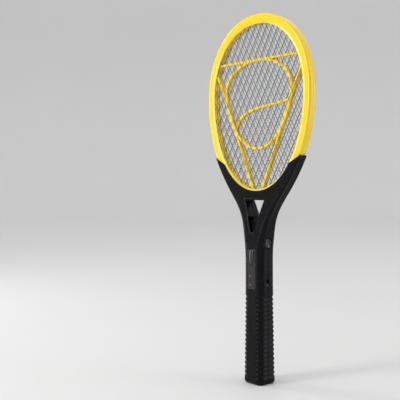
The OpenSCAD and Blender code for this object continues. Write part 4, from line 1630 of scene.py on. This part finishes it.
def repaint_electronics() -> None:
    """Gives the electronic parts, whose CAD shapes stay, their finishes."""
    mask, dark, tin, steel = MASK.make(), DARK.make(), TIN.make(), STEEL.make()
    brown, amber, tan, copper = BROWN.make(), AMBER.make(), TAN.make(), COPPER.make()
    for node, material in (
        ("circuit_board", mask), ("front_switch", dark), ("side_switch", dark), ("slide_switch", tin),
        ("step_up_transformer", copper), ("storage_capacitor", brown), ("pulse_capacitors", amber),
        ("rectifier_diodes", dark), ("resistors", tan), ("transistor", dark), ("battery_plate", steel),
    ):
        repaint(node, material)


# ---------- studio ----------


@dataclass
class Studio:
    """Pale floor that curves up all round, soft lights, and the camera."""

    eye: Triple = (0.6703, -0.6569, 0.2732)
    azimuth: float = math.radians(50.29)
    pitch: float = math.radians(2.006)
    roll: float = math.radians(0.361)
    lens: float = 64.47
    floor_r: float = 3.2
    bend_r: float = 1.4
    wall_h: float = 2.6
    daylight: float = 0.95
    shaded: Triple = (0.214, -0.178, 0.0)
    middle: Triple = (0, 0, 0.25)

    def floor(self) -> None:
        """Makes the floor, as a wide dish."""
        r = self.bend_r
        turns = np.linspace(0, math.pi / 2, 14)
        bend = [(self.floor_r + r * math.sin(a), r * (1 - math.cos(a))) for a in turns]
        profile = [(0, 0), (1.2, 0), *bend, (self.floor_r + r, self.wall_h)]
        dish = turned("floor", [(r / MM, z / MM) for r, z in profile], 96, Matrix.Identity(4))
        s = Shader("pale_floor")
        pale = s.mix(s.noise(3), (0.72, 0.72, 0.72, 1), (0.75, 0.75, 0.75, 1))
        toward = s.put("VectorMath", {0: s.place, 1: self.shaded}, operation="DOT_PRODUCT").outputs["Value"]
        up = s.put("SeparateXYZ", {"Vector": s.place}).outputs["Z"]
        side = s.put("MapRange", {"Value": toward, "From Min": 0.4, "From Max": 1.0}).outputs["Result"]
        rise = s.put("MapRange", {"Value": up, "From Min": 0.1, "From Max": 0.9}).outputs["Result"]
        shade = s.put("Math", {0: side, 1: rise}, operation="MULTIPLY").outputs[0]
        s.set(Base_Color=s.mix(shade, pale, (0.1, 0.1, 0.1, 1)), Roughness=0.6)
        dish.data.materials.append(s.material)

    def lamp(self, name: str, place: Triple, size: Point, power: float) -> None:
        """Adds a soft rectangular light that faces the object.

        Args:
            name: Name of the light.
            place: Where it stands, in metres.
            size: Its width and height.
            power: Its power in watts.
        """
        data = bpy.data.lights.new(name, "AREA")
        data.shape = "RECTANGLE"
        data.size, data.size_y = size
        data.energy = power
        light = placed(name, data)
        light.location = place
        light.rotation_mode = "QUATERNION"
        light.rotation_quaternion = (Vector(self.middle) - Vector(place)).to_track_quat("-Z", "Y")

    def camera(self) -> None:
        """Adds the camera."""
        a, p = self.azimuth, self.pitch
        forward = Vector((-math.sin(a) * math.cos(p), math.cos(a) * math.cos(p), -math.sin(p)))
        across = Vector((math.cos(a), math.sin(a), 0))
        up = across.cross(forward)
        c, s = math.cos(self.roll), math.sin(self.roll)
        right, top = across * c - up * s, across * s + up * c
        turn = Matrix((right, top, -forward)).transposed()
        data = bpy.data.cameras.new("camera")
        data.lens = self.lens
        data.sensor_width = 36.0
        data.clip_start, data.clip_end = 0.02, 40
        eye = placed("camera", data)
        eye.matrix_world = Matrix.Translation(self.eye) @ turn.to_4x4()
        bpy.context.scene.camera = eye

    def build(self) -> None:
        """Sets up the floor, the lights and the camera."""
        self.camera()
        self.floor()
        world = bpy.data.worlds.new("daylight")
        bpy.context.scene.world = world
        world.use_nodes = True
        sky = world.node_tree.nodes["Background"].inputs
        sky["Color"].default_value = (1.0, 1.0, 1.0, 1)
        sky["Strength"].default_value = self.daylight
        self.lamp("key", (-0.5, -1.55, 0.95), (0.4, 1.8), 14)
        self.lamp("side", (1.25, 1.0, 0.55), (0.6, 1.3), 5)
        self.lamp("edge", (-1.3, -0.5, 0.5), (0.2, 1.2), 5)
        bpy.context.scene.view_settings.view_transform = "Standard"


def main() -> None:
    """Builds the object in order, and its surroundings."""
    logging.basicConfig(level=logging.INFO, format="%(name)s: %(message)s")
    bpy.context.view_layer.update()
    Studio().build()
    yellow, black, gloss, steel = YELLOW.make(), BLACK.make(), GLOSS.make(), STEEL.make()
    Rims().build(yellow)
    Spacers().build(yellow)
    WireMeshes().build(MESH.make())
    Shells().build(black)
    BatteryDoor().build(black)
    Controls().build(gloss, RED_LENS.make())
    for screws in all_screws():
        screws.build(steel)
    Leads().build(RED_SLEEVE.make(), BLACK_SLEEVE.make())
    Battery().build(JACKET.make(), steel)
    repaint_electronics()


if __name__ == "__main__":
    main()
